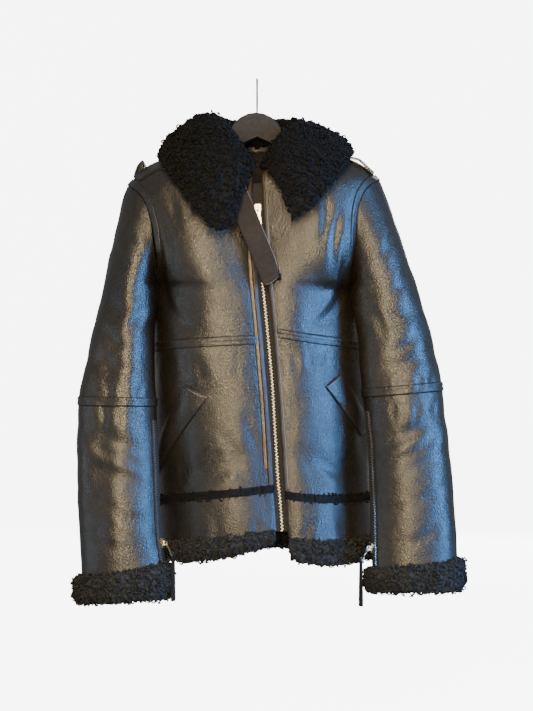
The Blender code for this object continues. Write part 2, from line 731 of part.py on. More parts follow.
def sleeve_rings(side, stations, turns):
    """Rings of a sleeve at fractional rows of its table. A turn is a share of the way round, from
    the outer line over the front to the inner line (0.5) and over the back."""
    table = SLEEVE_RIGHT if side == "right" else SLEEVE_LEFT
    side_table = np.asarray(SIDE_RIGHT if side == "right" else SIDE_LEFT, float)
    rows = smooth(table, stations)
    angle = 2 * math.pi * np.asarray(turns)

    def ellipse(row):
        outer = np.array([row[0], row[4], row[1]])
        inner = np.array([row[2], row[4], row[3]])
        ahead = np.array([0, -row[5], 0])
        middle, half = (outer + inner) / 2, (outer - inner) / 2
        return middle + np.outer(np.cos(angle), half) + np.outer(np.sin(angle), ahead)

    step = np.abs(np.asarray(turns) * 2 * ARMHOLE_STEPS)
    front = smooth(side_table[: ARMHOLE_STEPS + 1, :3], np.clip(step, 0, ARMHOLE_STEPS))
    back = smooth(side_table[: ARMHOLE_STEPS + 1, 3:], np.clip(2 * ARMHOLE_STEPS - step, 0, ARMHOLE_STEPS))
    armhole = np.where((step <= ARMHOLE_STEPS)[:, None], front, back)
    shift = armhole - ellipse(np.asarray(table[0], float))
    rings = []
    for station, row in zip(stations, rows):
        fade = 1 - smoothstep(station / ARMHOLE_BLEND_RINGS)
        rings.append(ellipse(row) + shift * fade)
    return np.array(rings)


def sleeve_normals(side, stations, turns):
    """Normals of the sleeve's rings. They point out on the right side and in on the left one."""
    return surface_normals(lambda rings, turns: sleeve_rings(side, rings, turns % 1.0), stations, turns)


def sleeve(side, stations, turns, lift=0.0, depth=WALL):
    """Outer and inner points of a slab on a sleeve."""
    sign = 1 if side == "right" else -1
    stations = np.asarray(stations, float)
    turns = np.asarray(turns, float)
    points = sleeve_rings(side, stations, turns)
    normals = sleeve_normals(side, stations, turns) * sign
    points = points + normals * fold_depth(points, FOLDS_SLEEVE)[..., None]
    mitres = ARMHOLE_NORMALS[side]
    step = turns * 2 * ARMHOLE_STEPS
    front = smooth(mitres["front"], np.clip(step, 0, ARMHOLE_STEPS))
    back = smooth(mitres["back"], np.clip(2 * ARMHOLE_STEPS - step, 0, ARMHOLE_STEPS))
    mitre = np.where((step <= ARMHOLE_STEPS)[:, None], front, back)[None]
    near = (1 - smoothstep(stations / 0.25))[:, None] * np.ones(len(turns))
    normals = lean(normals, mitre, near)
    outer = points + normals * lift
    inner = outer - normals * depth
    if turns[-1] - turns[0] == 1:
        outer[:, -1], inner[:, -1] = outer[:, 0], inner[:, 0]
    return outer, inner


def build_sleeves():
    turns = np.linspace(0, 1, 2 * ARMHOLE_STEPS + 1)
    elbow = [ELBOW_EDGES[0], ELBOW_RING - RING_INSET]
    upper = np.concatenate([[ARMHOLE_INSET, 0.5], np.linspace(1, 7.5, 9), elbow])
    lower = np.concatenate([[ELBOW_RING + RING_INSET, ELBOW_EDGES[1]], LOWER_RINGS])
    for side in ("right", "left"):
        wall(f"sleeve_{side}_upper", [sleeve(side, upper, turns)], "leather")
        wall(f"sleeve_{side}_lower", [sleeve(side, lower, turns)], "leather")
        rings = [ELBOW_EDGES[0], ELBOW_RING, ELBOW_EDGES[1]]
        band = sleeve(side, rings, turns, SEAM_GAP + TAPE_THICK, TAPE_THICK)
        wall(f"elbow_band_{side}", [band], "leather")


def build_armhole_bindings():
    """A leather strip on the body round each armhole, over the front and over the back."""
    levels = np.concatenate([[SHOULDER_INSET], np.arange(1, BINDING_END + 1)])
    lift = SEAM_GAP + TAPE_THICK
    for side in ("right", "left"):
        stations = OUTER_STATIONS[:-1]
        for face in ("front", "back"):
            points = panel(f"{face}_{side}", levels, stations, lift=lift, depth=TAPE_THICK)
            if (face, side) == ("back", "left"):
                points = tuple(grid[:, ::-1] for grid in points)
            wall(f"armhole_binding_{face}_{side}", [points], "leather")


def band_section(rings_top, rings_bottom, outward, section):
    """Closed sections of a fur band between two lines: each section point is a share of the way
    down and a distance out."""
    sections = []
    for top, bottom, out in zip(rings_top, rings_bottom, outward):
        sections.append([top + (bottom - top) * share + out * distance for share, distance in section])
    return sections


CUFF_SECTION = (
    (0.0, -2.0), (-0.02, 7.0), (0.12, 15.5), (0.36, 17.0), (0.66, 16.5), (0.9, 12.0),
    (1.0, 4.0), (0.98, -4.0), (0.8, -9.0), (0.25, -8.0),
)


def build_cuffs():
    for side in ("right", "left"):
        turns = np.linspace(0, 1, 2 * ARMHOLE_STEPS + 1)[:-1]
        points, inner = sleeve(side, [CUFF_RING], turns, depth=1.0)
        out = points[0] - inner[0]
        out[:, 2] = 0
        out = unit(out)
        top = points[0] - out * WALL / 2 - np.array([0, 0, SEAM_GAP + 0.5])
        outer_bottom, inner_bottom = CUFF_BOTTOM[side]
        bottom = top.copy()
        share = (1 - np.cos(2 * math.pi * turns)) / 2
        bottom[:, 2] = outer_bottom + (inner_bottom - outer_bottom) * share
        bottom += out * 2.0
        loft(f"cuff_fur_{side}", band_section(top, bottom, out, CUFF_SECTION), "fur", closed=True)


HEM_SECTION = (
    (0.0, -2.0), (0.0, 3.0), (0.12, 7.5), (0.4, 9.5), (0.75, 8.5), (1.0, 3.0), (1.0, -4.0),
    (0.8, -8.5), (0.3, -9.0),
)


def hem_sections(name, shares, heights):
    stations = [(share, 0) for share in shares[:-1]] + [(1, -HALF_GAP)]
    outer, inner = panel(name, [HEM_LEVEL], stations)
    top = (outer + inner)[0] / 2 - np.array([0, 0, SEAM_GAP + 0.2])
    out = outer[0] - inner[0]
    out[:, 2] = 0
    bottom = top.copy()
    bottom[:, 2] -= np.asarray(heights)
    return band_section(top, bottom, unit(out), HEM_SECTION)


def build_hem_fur():
    shares = np.linspace(0.02, 1, 10)
    right = np.interp(shares, (0, 0.08, 0.3, 0.6, 0.75, 1), (21, 29, 36, 40, 30, 30))
    left = np.interp(shares, (0, 0.08, 0.3, 0.6, 0.8, 1), (34, 40, 43, 42, 40, 40))
    loft("hem_fur_front_right", hem_sections("front_right", shares, right), "fur")
    loft("hem_fur_front_left", hem_sections("front_left", shares, left), "fur")
    shares = np.linspace(0, 1, 11)
    right_half = hem_sections("back_right", shares, np.interp(shares, (0, 0.8, 1), (42, 42, 32)))
    left_half = hem_sections("back_left", shares, np.interp(shares, (0, 0.8, 1), (42, 42, 40)))
    loft("hem_fur_back", right_half[::-1] + left_half[1:], "fur")


def collar_profile(row, shares):
    """The collar's leather line at one station, from where it is sewn on, over the fold, to its
    free edge."""
    base, roll, edge = row[:3], row[3:6], row[6:]
    out = edge - base
    out[2] = 0
    out = unit(out)
    up = np.array([0, 0, 1.0])
    stand, fall = np.linalg.norm(roll - base), np.linalg.norm(edge - roll)
    rise, turn_over = up * stand * 0.45, out * min(stand, fall) * 0.28
    first = bezier((base, base + rise, roll - turn_over, roll), np.linspace(0, 1, 30))
    drop = unit(edge - roll - out * np.dot(edge - roll, out) * 0.35)
    second = bezier((roll, roll + out * fall * 0.2, edge - drop * fall * 0.4, edge), np.linspace(0, 1, 40))
    line = np.concatenate([first, second[1:]])
    return along(line, np.clip(shares, 0, 1))[0]


def collar_rows():
    """The collar's table with the neckline's points in place of panel and level."""
    rows = []
    for name, level, *rest in COLLAR:
        neck = panel_surface(name, [level], [(0, 0)])[0, 0] + np.array([0, 0, COLLAR_SEAT])
        rows.append(list(neck) + rest)
    return rows


def collar_grid(stations, shares):
    """Points and normals of the collar's leather line, with the normals towards the fur."""
    rows = collar_rows()

    def lines(stations, shares):
        return np.array([collar_profile(row, shares) for row in smooth(rows, stations)])

    stations, shares = np.asarray(stations, float), np.asarray(shares, float)
    around = lines(stations + STEP_LEVEL, shares) - lines(stations - STEP_LEVEL, shares)
    over = lines(stations, shares + STEP_SHARE) - lines(stations, shares - STEP_SHARE)
    return lines(stations, shares), unit(np.cross(around, over))


def thinned(count, each):
    """Shares of the wool's thickness across the collar: FUR_EDGE at both ends, and each more inwards."""
    from_end = np.minimum(np.arange(count), np.arange(count)[::-1])
    return np.minimum(1, FUR_EDGE + each * from_end)


def build_collar():
    stations = np.linspace(0, len(COLLAR) - 1, 25)
    shares = np.concatenate([[0], np.linspace(FUR_START, 1, 9)])
    points, normals = collar_grid(stations, shares)
    leather_outer = points + normals * COLLAR_LEATHER
    wall("collar_leather", [(leather_outer, points)], "leather")
    points, normals, shares = points[:, 1:], normals[:, 1:], shares[1:]
    depth = COLLAR_FUR * np.outer(thinned(len(stations), 0.4), thinned(len(shares), 0.367))
    fur_inner = points + normals * (COLLAR_LEATHER + SEAM_GAP)
    fur_outer = fur_inner + normals * depth[..., None]
    wall("collar_fur", [(fur_outer, fur_inner)], "fur")


def strip(centre, across, out, half_width, depth):
    """Outer and inner points of a flat strip along a line."""
    left, right = centre - across * half_width, centre + across * half_width
    outer = np.stack([left, centre, right], axis=1)
    return outer, outer - out[:, None, :] * depth


def build_zip():
    slider_foot = ZIP_SLIDER_Z - SLIDER_HEIGHT / 2
    heights = np.concatenate([np.linspace(-182, -215, 3), np.linspace(slider_foot - 0.5, ZIP_STOP_Z - 4, 16)])
    middle = np.column_stack([zip_point(heights)[:, 0], zip_point(heights)[:, 1], heights])
    across = np.tile([1.0, 0, 0], (len(middle), 1))
    out = np.tile([0, -1.0, 0], (len(middle), 1))
    tape_face = middle + np.array([0, TAPE_BACK, 0])
    wall("zip_tape", [strip(tape_face, across, out, ZIP_TAPE_HALF, ZIP_TAPE_THICK)], "cloth")
    below = heights < slider_foot
    below[-1] = False
    chain_face = tape_face[below] - np.array([0, SEAM_GAP + CHAIN_THICK, 0])
    wall("zip_chain", [strip(chain_face, across[below], out[below], CHAIN_HALF, CHAIN_THICK)], "metal")


def ring_band(name, centre, across, out, radii, half_width, finish):
    """A short tube round a line through its centre."""
    up = np.array([0, 0, 1.0])
    rings = []
    for angle in np.linspace(0, 2 * math.pi, 12, endpoint=False):
        radial = out * math.cos(angle) + up * math.sin(angle)
        inner, outer = centre + radial * radii[0], centre + radial * radii[1]
        rings.append([inner - across * half_width, outer - across * half_width,
                      outer + across * half_width, inner + across * half_width])
    return loft(name, rings, finish, closed=True)


def block(name, base, across, out, shape, thick, finish):
    """A tapering block standing out from base: its heights, and half its width at each."""
    rings = []
    for height, half in shape:
        foot = base + np.array([0, 0, height])
        rings.append([foot - across * half, foot + across * half,
                      foot + across * half + out * thick, foot - across * half + out * thick])
    return loft(name, rings, finish)


def join(item, helper):
    """Fuses a helper solid into an item."""
    PARTS.objects.unlink(helper)
    HELPERS.objects.link(helper)
    helper.hide_render = True
    helper.display_type = "WIRE"
    modifier = item.modifiers.new("join", "BOOLEAN")
    modifier.operation = "UNION"
    modifier.object = helper


def slider(name, base, out, thick):
    """A zip slider with its ring, and the line its pull turns about: a point and a direction."""
    across = np.cross([0, 0, 1.0], out)
    axis = base + out * (thick + RING_RAISE)
    body = block(name, base, across, out, SLIDER_SHAPE, thick, "metal")
    join(body, ring_band(name + "_ring", axis, across, out, (RING_INNER, RING_OUTER), RING_HALF, "metal"))
    return axis, across


def plate(name, outlines, centre, across, up, half_thick, finish):
    """A flat piece cut to an outline with holes, in the plane of across and up."""
    item = flat_outline(name, outlines, half_thick, finish)
    out = np.cross(across, up)
    matrix = Matrix([[across[i], up[i], out[i], centre[i] * MM] for i in range(3)] + [[0, 0, 0, 1]])
    item.matrix_world = matrix
    return item


def box_outline(x, top, bottom):
    return [(-x, top), (-x, bottom), (x, bottom), (x, top)]


def build_main_slider():
    x = zip_point(ZIP_SLIDER_Z)[0]
    foot = zip_point(ZIP_SLIDER_Z - SLIDER_HEIGHT / 2)[1]
    base = np.array([x, foot + TAPE_BACK - SEAM_GAP, ZIP_SLIDER_Z])
    axis, across = slider("zip_slider", base, np.array([0, -1.0, 0]), SLIDER_THICK)
    outline = [(-4, 0.8), (-4, -6), (-3.2, -12), (-3.4, -25), (-2, -28)]
    outline += [(-x, z) for x, z in reversed(outline)]
    slant = math.radians(MAIN_PULL_SLANT)
    up = np.array([-math.sin(slant), 0, math.cos(slant)])
    along_bar = np.array([math.cos(slant), 0, math.sin(slant)])
    plate("zip_pull", [outline, box_outline(2.6, -0.8, -5.4)], axis, along_bar, up, PULL_HALF_THICK, "metal")


def build_cuff_zips():
    """The zip up each cuff: its cloth tape, the closed teeth, a slider, and a pull with a leather end."""
    rings = np.append(LOWER_RINGS[:-1], CUFF_ZIP_END)
    tape_lift = SEAM_GAP + CUFF_TAPE_THICK
    chain_lift = tape_lift + SEAM_GAP + CUFF_CHAIN_THICK
    for side in ("right", "left"):
        tape = sleeve(side, rings, CUFF_TAPE_TURNS, tape_lift, CUFF_TAPE_THICK)
        wall(f"cuff_zip_tape_{side}", [tape], "cloth")
        chain = sleeve(side, rings, CUFF_CHAIN_TURNS, chain_lift, CUFF_CHAIN_THICK)
        wall(f"cuff_zip_chain_{side}", [chain], "metal")
        turn, z, clear = CUFF_SLIDERS[side]
        fine = np.linspace(11, CUFF_RING, 80)
        faces, backs = sleeve(side, fine, [turn], tape_lift + SEAM_GAP, 1.0)
        nearest = np.argmin(np.abs(faces[:, 0, 2] - z))
        out = faces[nearest, 0] - backs[nearest, 0]
        out[2] = 0
        out = unit(out)
        base = faces[nearest, 0] + out * clear
        axis, across = slider(f"cuff_slider_{side}", base, out, CUFF_SLIDER_THICK)
        lean_angle = math.radians(CUFF_PULL_LEAN)
        up = np.array([0, 0, math.cos(lean_angle)]) - out * math.sin(lean_angle)
        bar = CUFF_PULL_DROP
        outline = [(-3.6, 0.8), (-3.6, -6), (-1.6, -9), (-1.6, -15), (-5.8, -18.5), (-5.8, -bar - 0.8)]
        outline += [(-x, z) for x, z in reversed(outline)]
        holes = [box_outline(2.2, -0.8, -5.4), box_outline(4.4, 0.8 - bar, 5.2 - bar)]
        pull = plate(f"cuff_pull_{side}", [outline] + holes, axis, across, up, PULL_HALF_THICK, "metal")
        eye = axis - up * bar
        foot = PULLER_BOTTOM[side] - eye[2]
        shape = ((-2.6, 3.6), (-12, 4.2), (-40, 5.6), (foot + 3, 6.4), (foot, 5.6))
        puller = block(f"cuff_puller_{side}", eye - out * 1.5, across, out, shape, 3.0, "strap")
        loop = ring_band(f"puller_loop_{side}", eye, across, out, LOOP_RADII, LOOP_HALF, "strap")
        join(puller, loop)
        # The leather end turns with its pull, about the ring.
        puller.parent = pull
        puller.matrix_parent_inverse = pull.matrix_world.inverted()


def build_strap():
    """The throat strap, and the wool that shows past its end."""
    line = smooth(STRAP_LINE, np.linspace(0, len(STRAP_LINE) - 1, 12))
    ahead = unit(np.gradient(line, axis=0))
    across = unit(np.cross(ahead, np.array([0, 1.0, 0])))
    out = unit(np.cross(across, ahead))
    out *= np.sign(-out[:, 1:2])
    outer, inner = strip(line, across, out, STRAP_HALF, STRAP_THICK)
    # The end is cut slanting, to a blunt point.
    outer[-1, 2] += ahead[-1] * 2 - across[-1] * 5
    inner[-1, 2] += ahead[-1] * 2 - across[-1] * 5
    outer[-1, 0] += ahead[-1] * 10
    inner[-1, 0] += ahead[-1] * 10
    outer[-1, 1] += ahead[-1] * 9
    inner[-1, 1] += ahead[-1] * 9
    wall("throat_strap", [(outer, inner)], "strap")
    backing = line[4:] + ahead[4:] * 9 - out[4:] * (STRAP_THICK + 2 * SEAM_GAP)
    wall("throat_strap_fur", [strip(backing, across[4:], out[4:], STRAP_HALF - 3, 4.0)], "fur")


def shoulder_ridge(side):
    """The shoulder seam, from the neck to the armhole."""
    name = "front_" + side
    return panel_surface(name, [0.0], [(share, 0) for share in np.linspace(0, 1, 25)])[0]


def epaulette_right():
    """The right shoulder strap: its front half follows the front, its back half turns up."""
    shares = np.array([row[0] for row in STRAP_RIGHT])
    stations = [(share, 0) for share in shares]
    lift = SEAM_GAP + STRAP_THICK
    front = panel("front_right", STRAP_FRONT_LEVELS, stations, lift=lift, depth=STRAP_THICK)
    back = panel("back_right", STRAP_BACK_LEVELS, stations, lift=lift, depth=STRAP_THICK)
    upright = unit(np.array(STRAP_UPRIGHT))
    across = np.array([0, -upright[2], upright[1]])
    ridge = (front[0][-1] + back[0][0]) / 2
    turned = np.array([row[1] for row in STRAP_RIGHT])[None, :, None]
    width = np.array(STRAP_BACK_LEVELS)[:, None, None] * STRAP_LEVEL_RUN
    flare = unit(ridge[-1] - ridge[-2]) * np.linalg.norm(ridge[-1] - ridge[0]) * STRAP_FLARE
    outwards = flare * (turned * width / width[-1]) * smoothstep((shares - 0.77) / 0.1)[None, :, None]
    standing = ridge[None] + upright * width + outwards
    grids = []
    for on_front, lying, stood in zip(front, back, (standing, standing - across * STRAP_THICK)):
        behind = lying * (1 - turned) + stood * turned
        middle = (on_front[-1:] + lying[:1]) / 2
        grids.append(np.concatenate([on_front[:-1], middle, behind[1:]]))
    return grids


def epaulette_left():
    """The left shoulder strap, flat from front to back and arched over the shoulder."""
    line = along(shoulder_ridge("left"), [row[0] for row in STRAP_LEFT])[0]
    line[:, 2] += [row[1] for row in STRAP_LEFT]
    ahead = unit(np.gradient(line, axis=0))
    across = np.tile([0, -1.0, 0], (len(line), 1))
    out = unit(np.cross(across, ahead))
    out *= np.sign(out[:, 2:3])
    return strip(line + out * STRAP_THICK, across, out, STRAP_LEFT_HALF, STRAP_THICK)


def build_epaulettes():
    """Shoulder straps, whose outer ends run in beside the armhole bindings."""
    wall("epaulette_right", [epaulette_right()], "leather")
    wall("epaulette_left", [epaulette_left()], "leather")


def flat_outline(name, outlines, half_thick, finish, bevel=0.0):
    """A flat piece from its outline and its holes' outlines, half_thick each side of its plane."""
    curve = bpy.data.curves.new(name, "CURVE")
    curve.dimensions = "2D"
    curve.fill_mode = "BOTH"
    curve.extrude = half_thick * MM
    curve.bevel_depth = bevel * MM
    curve.bevel_resolution = 0
    for outline in outlines:
        spline = curve.splines.new("POLY")
        spline.points.add(len(outline) - 1)
        for point, (x, z) in zip(spline.points, outline):
            point.co = (x * MM, z * MM, 0, 1)
        spline.use_cyclic_u = True
    return add_object(name, curve, finish)


def arc(centre_x, centre_z, radius_x, radius_z, start, end, count):
    angles = np.radians(np.linspace(start, end, count))
    return [(centre_x + radius_x * math.cos(a), centre_z + radius_z * math.sin(a)) for a in angles]


def build_hanger():
    """A flat hanger: a domed middle and two arms that carry the shoulders from inside."""
    tops = {}
    for side in ("right", "left"):
        ridge = shoulder_ridge(side)
        x = np.linspace(66, HANGER_REACH[side], 7) * (-1 if side == "right" else 1)
        order = np.argsort(ridge[:, 0])
        z = np.interp(x, ridge[order, 0], ridge[order, 2]) - WALL - HANGER_UNDER
        tops[side] = list(zip(x, z))
    dome = [(-55, -116)] + arc(-2, -107, 48, 50, 172, 8, 11) + [(51, -116)]
    right_under = [(x, z - HANGER_ARM) for x, z in tops["right"]]
    left_under = [(x, z - HANGER_ARM) for x, z in tops["left"]]
    outline = list(reversed(tops["right"])) + dome + tops["left"]
    outline += list(reversed(left_under)) + [(39, -114), (0, -97), (-42, -116)] + right_under
    body = flat_outline("hanger_body", [outline], HANGER_THICK / 2 - 1, "hanger", bevel=1.0)
    body.rotation_euler = (math.radians(90), 0, 0)


def build_hook():
    """The wire hook. Its plane runs front to back, and the origin is under the top of its loop."""
    top = HOOK_WIRE
    centre_z = top - HOOK_RADIUS
    stem = [(0, HANGER_TOP + SEAM_GAP), (0, HANGER_TOP + 5), (0.6, HANGER_TOP + 9), (4.5, centre_z - 21.5)]
    loop = arc(0, centre_z, HOOK_RADIUS, HOOK_RADIUS, -52, 205, 20)
    curve = bpy.data.curves.new("hook", "CURVE")
    curve.dimensions = "3D"
    curve.bevel_depth = HOOK_WIRE * MM
    curve.bevel_resolution = 1
    curve.use_fill_caps = True
    spline = curve.splines.new("POLY")
    points = stem + loop
    spline.points.add(len(points) - 1)
    for point, (y, z) in zip(spline.points, points):
        point.co = (0, y * MM, z * MM, 1)
    add_object("hook", curve, "steel")


def main():
    build_fronts()
    build_back()
    build_plackets()
    build_pockets()
    build_sleeves()
    build_armhole_bindings()
    build_cuffs()
    build_hem_fur()
    build_collar()
    build_zip()
    build_main_slider()
    build_cuff_zips()
    build_strap()
    build_epaulettes()
    build_hanger()
    build_hook()


ARMHOLE_NORMALS = {side: armhole_normals(side) for side in ("right", "left")}
PARTS = bpy.data.collections.new("leather_jacket")
HELPERS = bpy.data.collections.new("helpers")
for collection in (PARTS, HELPERS):
    bpy.context.scene.collection.children.link(collection)
clear_scene()
MATERIALS = {name: make_material(name) for name in COLOURS}
main()
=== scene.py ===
"""A black shearling aviator jacket on a coat hanger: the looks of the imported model.

Frame: +X is the viewer's right, -Y is the front of the jacket, +Z is up. The origin is the
underside of the hook's top. The tables are in millimetres and repeat the solids' own forms.
"""
import math

import bpy
import numpy as np
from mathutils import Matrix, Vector, noise


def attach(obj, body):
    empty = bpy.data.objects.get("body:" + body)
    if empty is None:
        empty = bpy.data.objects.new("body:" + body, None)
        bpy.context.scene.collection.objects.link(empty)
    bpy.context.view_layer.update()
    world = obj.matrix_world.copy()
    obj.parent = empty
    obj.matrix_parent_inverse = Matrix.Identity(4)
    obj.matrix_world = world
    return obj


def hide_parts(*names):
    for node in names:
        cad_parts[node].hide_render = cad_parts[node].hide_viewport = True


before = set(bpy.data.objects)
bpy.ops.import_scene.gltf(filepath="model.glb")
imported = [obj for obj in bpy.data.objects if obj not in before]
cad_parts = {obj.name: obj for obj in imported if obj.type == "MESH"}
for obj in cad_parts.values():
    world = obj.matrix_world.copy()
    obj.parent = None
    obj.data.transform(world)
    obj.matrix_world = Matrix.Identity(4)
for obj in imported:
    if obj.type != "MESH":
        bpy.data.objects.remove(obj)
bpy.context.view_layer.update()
MM = 0.001
SEED = 20
SIDES = ("right", "left")

# Driving sizes, mm
SEAM_GAP = 0.3
HALF_GAP = SEAM_GAP / 2
TYPICAL_ROW = 250.0
STEP_LEVEL = 0.02          # steps over which a surface's slope is taken
STEP_SHARE = 0.004
WALL = 4.0                 # leather with its clipped wool
TAPE_THICK = 1.6
TAPE_LIFT = SEAM_GAP + TAPE_THICK  # a tape's outer face stands off the cloth by this
STRAP_THICK = 2.4
BINDING_WIDTH = 14.0
BINDING_END = 7            # the level where the strip runs under the sleeve
NECK_LEVEL = 4             # the foot of the neckline
ARMHOLE_STEPS = 10         # levels from the shoulder point to the armpit
CHEST_LEVEL = 11
TRIM_LEVEL = 13
HEM_LEVEL = 14
TRIM_UP = 0.065            # half the trim's height as a share of the level above
TRIM_DOWN = 0.095          # and of the level below
PLACKET_FOOT = TRIM_LEVEL - TRIM_UP - 0.005
WELT_RIGHT = 9.0
WELT_LEFT = 6.5
ZIP_TAPE_HALF = 14.0
ZIP_TAPE_THICK = 1.0
TAPE_BACK = WALL + 0.9     # the tape lies this far behind the fronts' outer face
CHAIN_THICK = 2.6
COLLAR_LEATHER = 2.0
COLLAR_FUR = 14.0

# Columns of the panel tables: the row's inner end (zip edge, neckline or centre back), the angle
# at which the row leaves it and how far it holds that angle, the same at the outer end, and how
# far the row bows up, most at its middle, or farther out on the shoulder.
# Columns: x, y, z, turn, reach, turn_out, reach_out, bow
FRONT_RIGHT = (
    (-70, 0, -115, 0, 45, 0, 45, 17),
    (-63, -22, -123, 8, 45, 26, 40, 10),
    (-50, -40, -135, 14, 45, 38, 40, 8),
    (-30, -54, -148, 16, 50, 46, 44, 5),
    (-8, -64, -162, 16, 55, 50, 48, 2),
    (-8, -70, -195, 18, 60, 55, 54, 0),
    (-6, -75, -235, 20, 70, 60, 58, 0),
    (-3, -79, -275, 22, 80, 66, 62, 0),
    (-1, -82, -312, 24, 90, 72, 70, 0),
    (1, -84, -342, 25, 95, 80, 80, 0),
    (3, -86, -366, 26, 100, 88, 85, 0),
    (11, -89, -448, 27, 105, 90, 92, 0),
    (23, -92, -600, 28, 105, 90, 102, 0),
    (29, -93, -697, 28, 100, 90, 104, 0),
    (35, -93, -768, 27, 95, 90, 104, -4),
)
FRONT_LEFT = (
    (70, 0, -115, 0, 45, 0, 45, 14),
    (62, -22, -123, 8, 45, 26, 40, 10),
    (48, -40, -135, 12, 45, 38, 40, 8),
    (28, -54, -148, 14, 48, 46, 42, 5),
    (9, -64, -162, 14, 50, 50, 44, 2),
    (9, -70, -195, 15, 50, 55, 48, 0),
    (11, -75, -235, 16, 50, 60, 50, 0),
    (14, -79, -275, 17, 50, 66, 54, 0),
    (16, -82, -312, 18, 50, 72, 58, 0),
    (18, -84, -342, 19, 50, 80, 62, 0),
    (20, -86, -366, 20, 50, 88, 66, 0),
    (27, -89, -435, 21, 50, 90, 68, -3),
    (40, -92, -600, 22, 50, 90, 70, -3),
    (47, -93, -707, 22, 50, 90, 72, -6),
    (52, -93, -779, 21, 50, 90, 72, -9),
)
BACK_RIGHT = (
    (-70, 0, -115, 0, 45, 0, 45, 17),
    (-66, 26, -117, 10, 45, 24, 40, 10),
    (-52, 46, -118.5, 12, 45, 34, 40, 8),
    (-30, 61, -119.5, 8, 60, 40, 44, 6),
    (0, 68, -120, 0, 70, 46, 50, 5),
    (-2, 80, -150, 0, 75, 52, 52, 0),
    (-4, 90, -190, 0, 80, 58, 55, 0),
    (-5, 97, -232, 0, 85, 66, 60, 0),
    (-5, 101, -275, 0, 88, 74, 65, 0),
    (-5, 103, -318, 0, 90, 82, 70, 0),
    (-5, 104, -358, 0, 90, 90, 75, 0),
    (-1, 105, -455, 0, 90, 90, 80, 0),
    (7, 106, -602, 0, 90, 90, 84, 0),
    (10, 106, -712, 0, 90, 90, 85, 0),
    (10, 105, -785, 0, 90, 90, 85, 0),
)

# The armhole, then the side seam: one row for each level of the panels.
# Columns: x_front, y_front, z_front, x_back, y_back, z_back
SIDE_RIGHT = (
    (-223, 0, -183, -223, 0, -183),
    (-214, -22, -188, -217, 24, -189),
    (-203, -39, -197, -210, 42, -201),
    (-192, -50, -211, -202, 54, -217),
    (-185, -57, -230, -195.5, 61, -237),
    (-179.5, -62, -252, -190, 66, -259),
    (-176, -63.5, -277, -185, 67.5, -283),
    (-173.5, -58, -301, -180.5, 64, -307),
    (-171.5, -44, -324, -176.5, 53, -330),
    (-170.5, -21, -343, -173, 33, -347),
    (-170, 8, -356, -170, 8, -356),
    (-177, 18, -462, -177, 18, -462),
    (-176, 25, -604, -176, 25, -604),
    (-174, 25, -723, -174, 25, -723),
    (-174, 25, -792, -174, 25, -792),
)
SIDE_LEFT = (
    (212, 0, -175, 212, 0, -175),
    (203, -22, -178, 207, 24, -181),
    (192, -38, -185, 200, 42, -193),
    (182, -49, -198, 192.5, 54, -210),
    (175, -56, -215, 186, 61, -231),
    (171, -61, -236, 181, 66, -254),
    (168.5, -63.5, -262, 176, 67.5, -280),
    (166.5, -59, -290, 171.5, 64, -306),
    (165, -45, -318, 167.5, 53, -331),
    (163.5, -20, -345, 164, 34, -351),
    (162, 10, -362, 162, 10, -362),
    (176, 22, -459, 176, 22, -459),
    (189, 28, -604, 189, 28, -604),
    (194, 30, -712, 194, 30, -712),
    (196, 30, -777, 196, 30, -777),
)

# Each row is one ring of a sleeve: its outer and inner points seen from the front, the depth of
# its middle and half its thickness from front to back.
# Columns: x_outer, z_outer, x_inner, z_inner, y_middle, half_depth
SLEEVE_RIGHT = (
    (-223, -183, -170, -356, 4, 66),
    (-232, -207, -171, -358.5, 0, 66),
    (-241, -245, -171.5, -362, -7, 66),
    (-252, -294, -172, -368, -14, 65),
    (-262, -346, -172.5, -382, -22, 63),
    (-272, -396, -173, -412, -30, 62),
    (-284, -456, -173, -464, -37, 61),
    (-294, -507, -173, -515, -43, 60),
    (-301, -551, -171, -553, -47, 59),
    (-304, -617, -168, -617, -54, 57),
    (-303, -685, -165, -685, -61, 54),
    (-301, -753, -163, -748, -68, 50),
    (-299, -805, -160, -790, -73, 46),
    (-297, -847, -156, -824, -76, 43),
)
SLEEVE_LEFT = (
    (212, -175, 162, -362, 4, 66),
    (222, -200, 163, -365, 0, 66),
    (233, -232, 164, -369, -6, 66),
    (245.5, -270, 165, -375, -12, 65),
    (260, -314, 166.5, -387, -18, 63),
    (278, -371, 168.5, -412, -27, 62),
    (294, -422, 171.5, -446, -34, 61),
    (308, -482, 175, -493, -41, 60),
    (315, -526, 179, -538, -45, 59),
    (323, -592, 186, -600, -52, 57),
    (329, -655, 190, -662, -59, 54),
    (334, -722, 193, -725, -66, 50),
    (337, -775, 194, -783, -72, 46),
    (338, -818, 195, -833, -76, 43),
)
ELBOW_RING = 8
CUFF_RING = 13
ARMHOLE_BLEND_RINGS = 4.0
CUFF_BOTTOM = {"right": (-893, -886), "left": (-873, -874)}

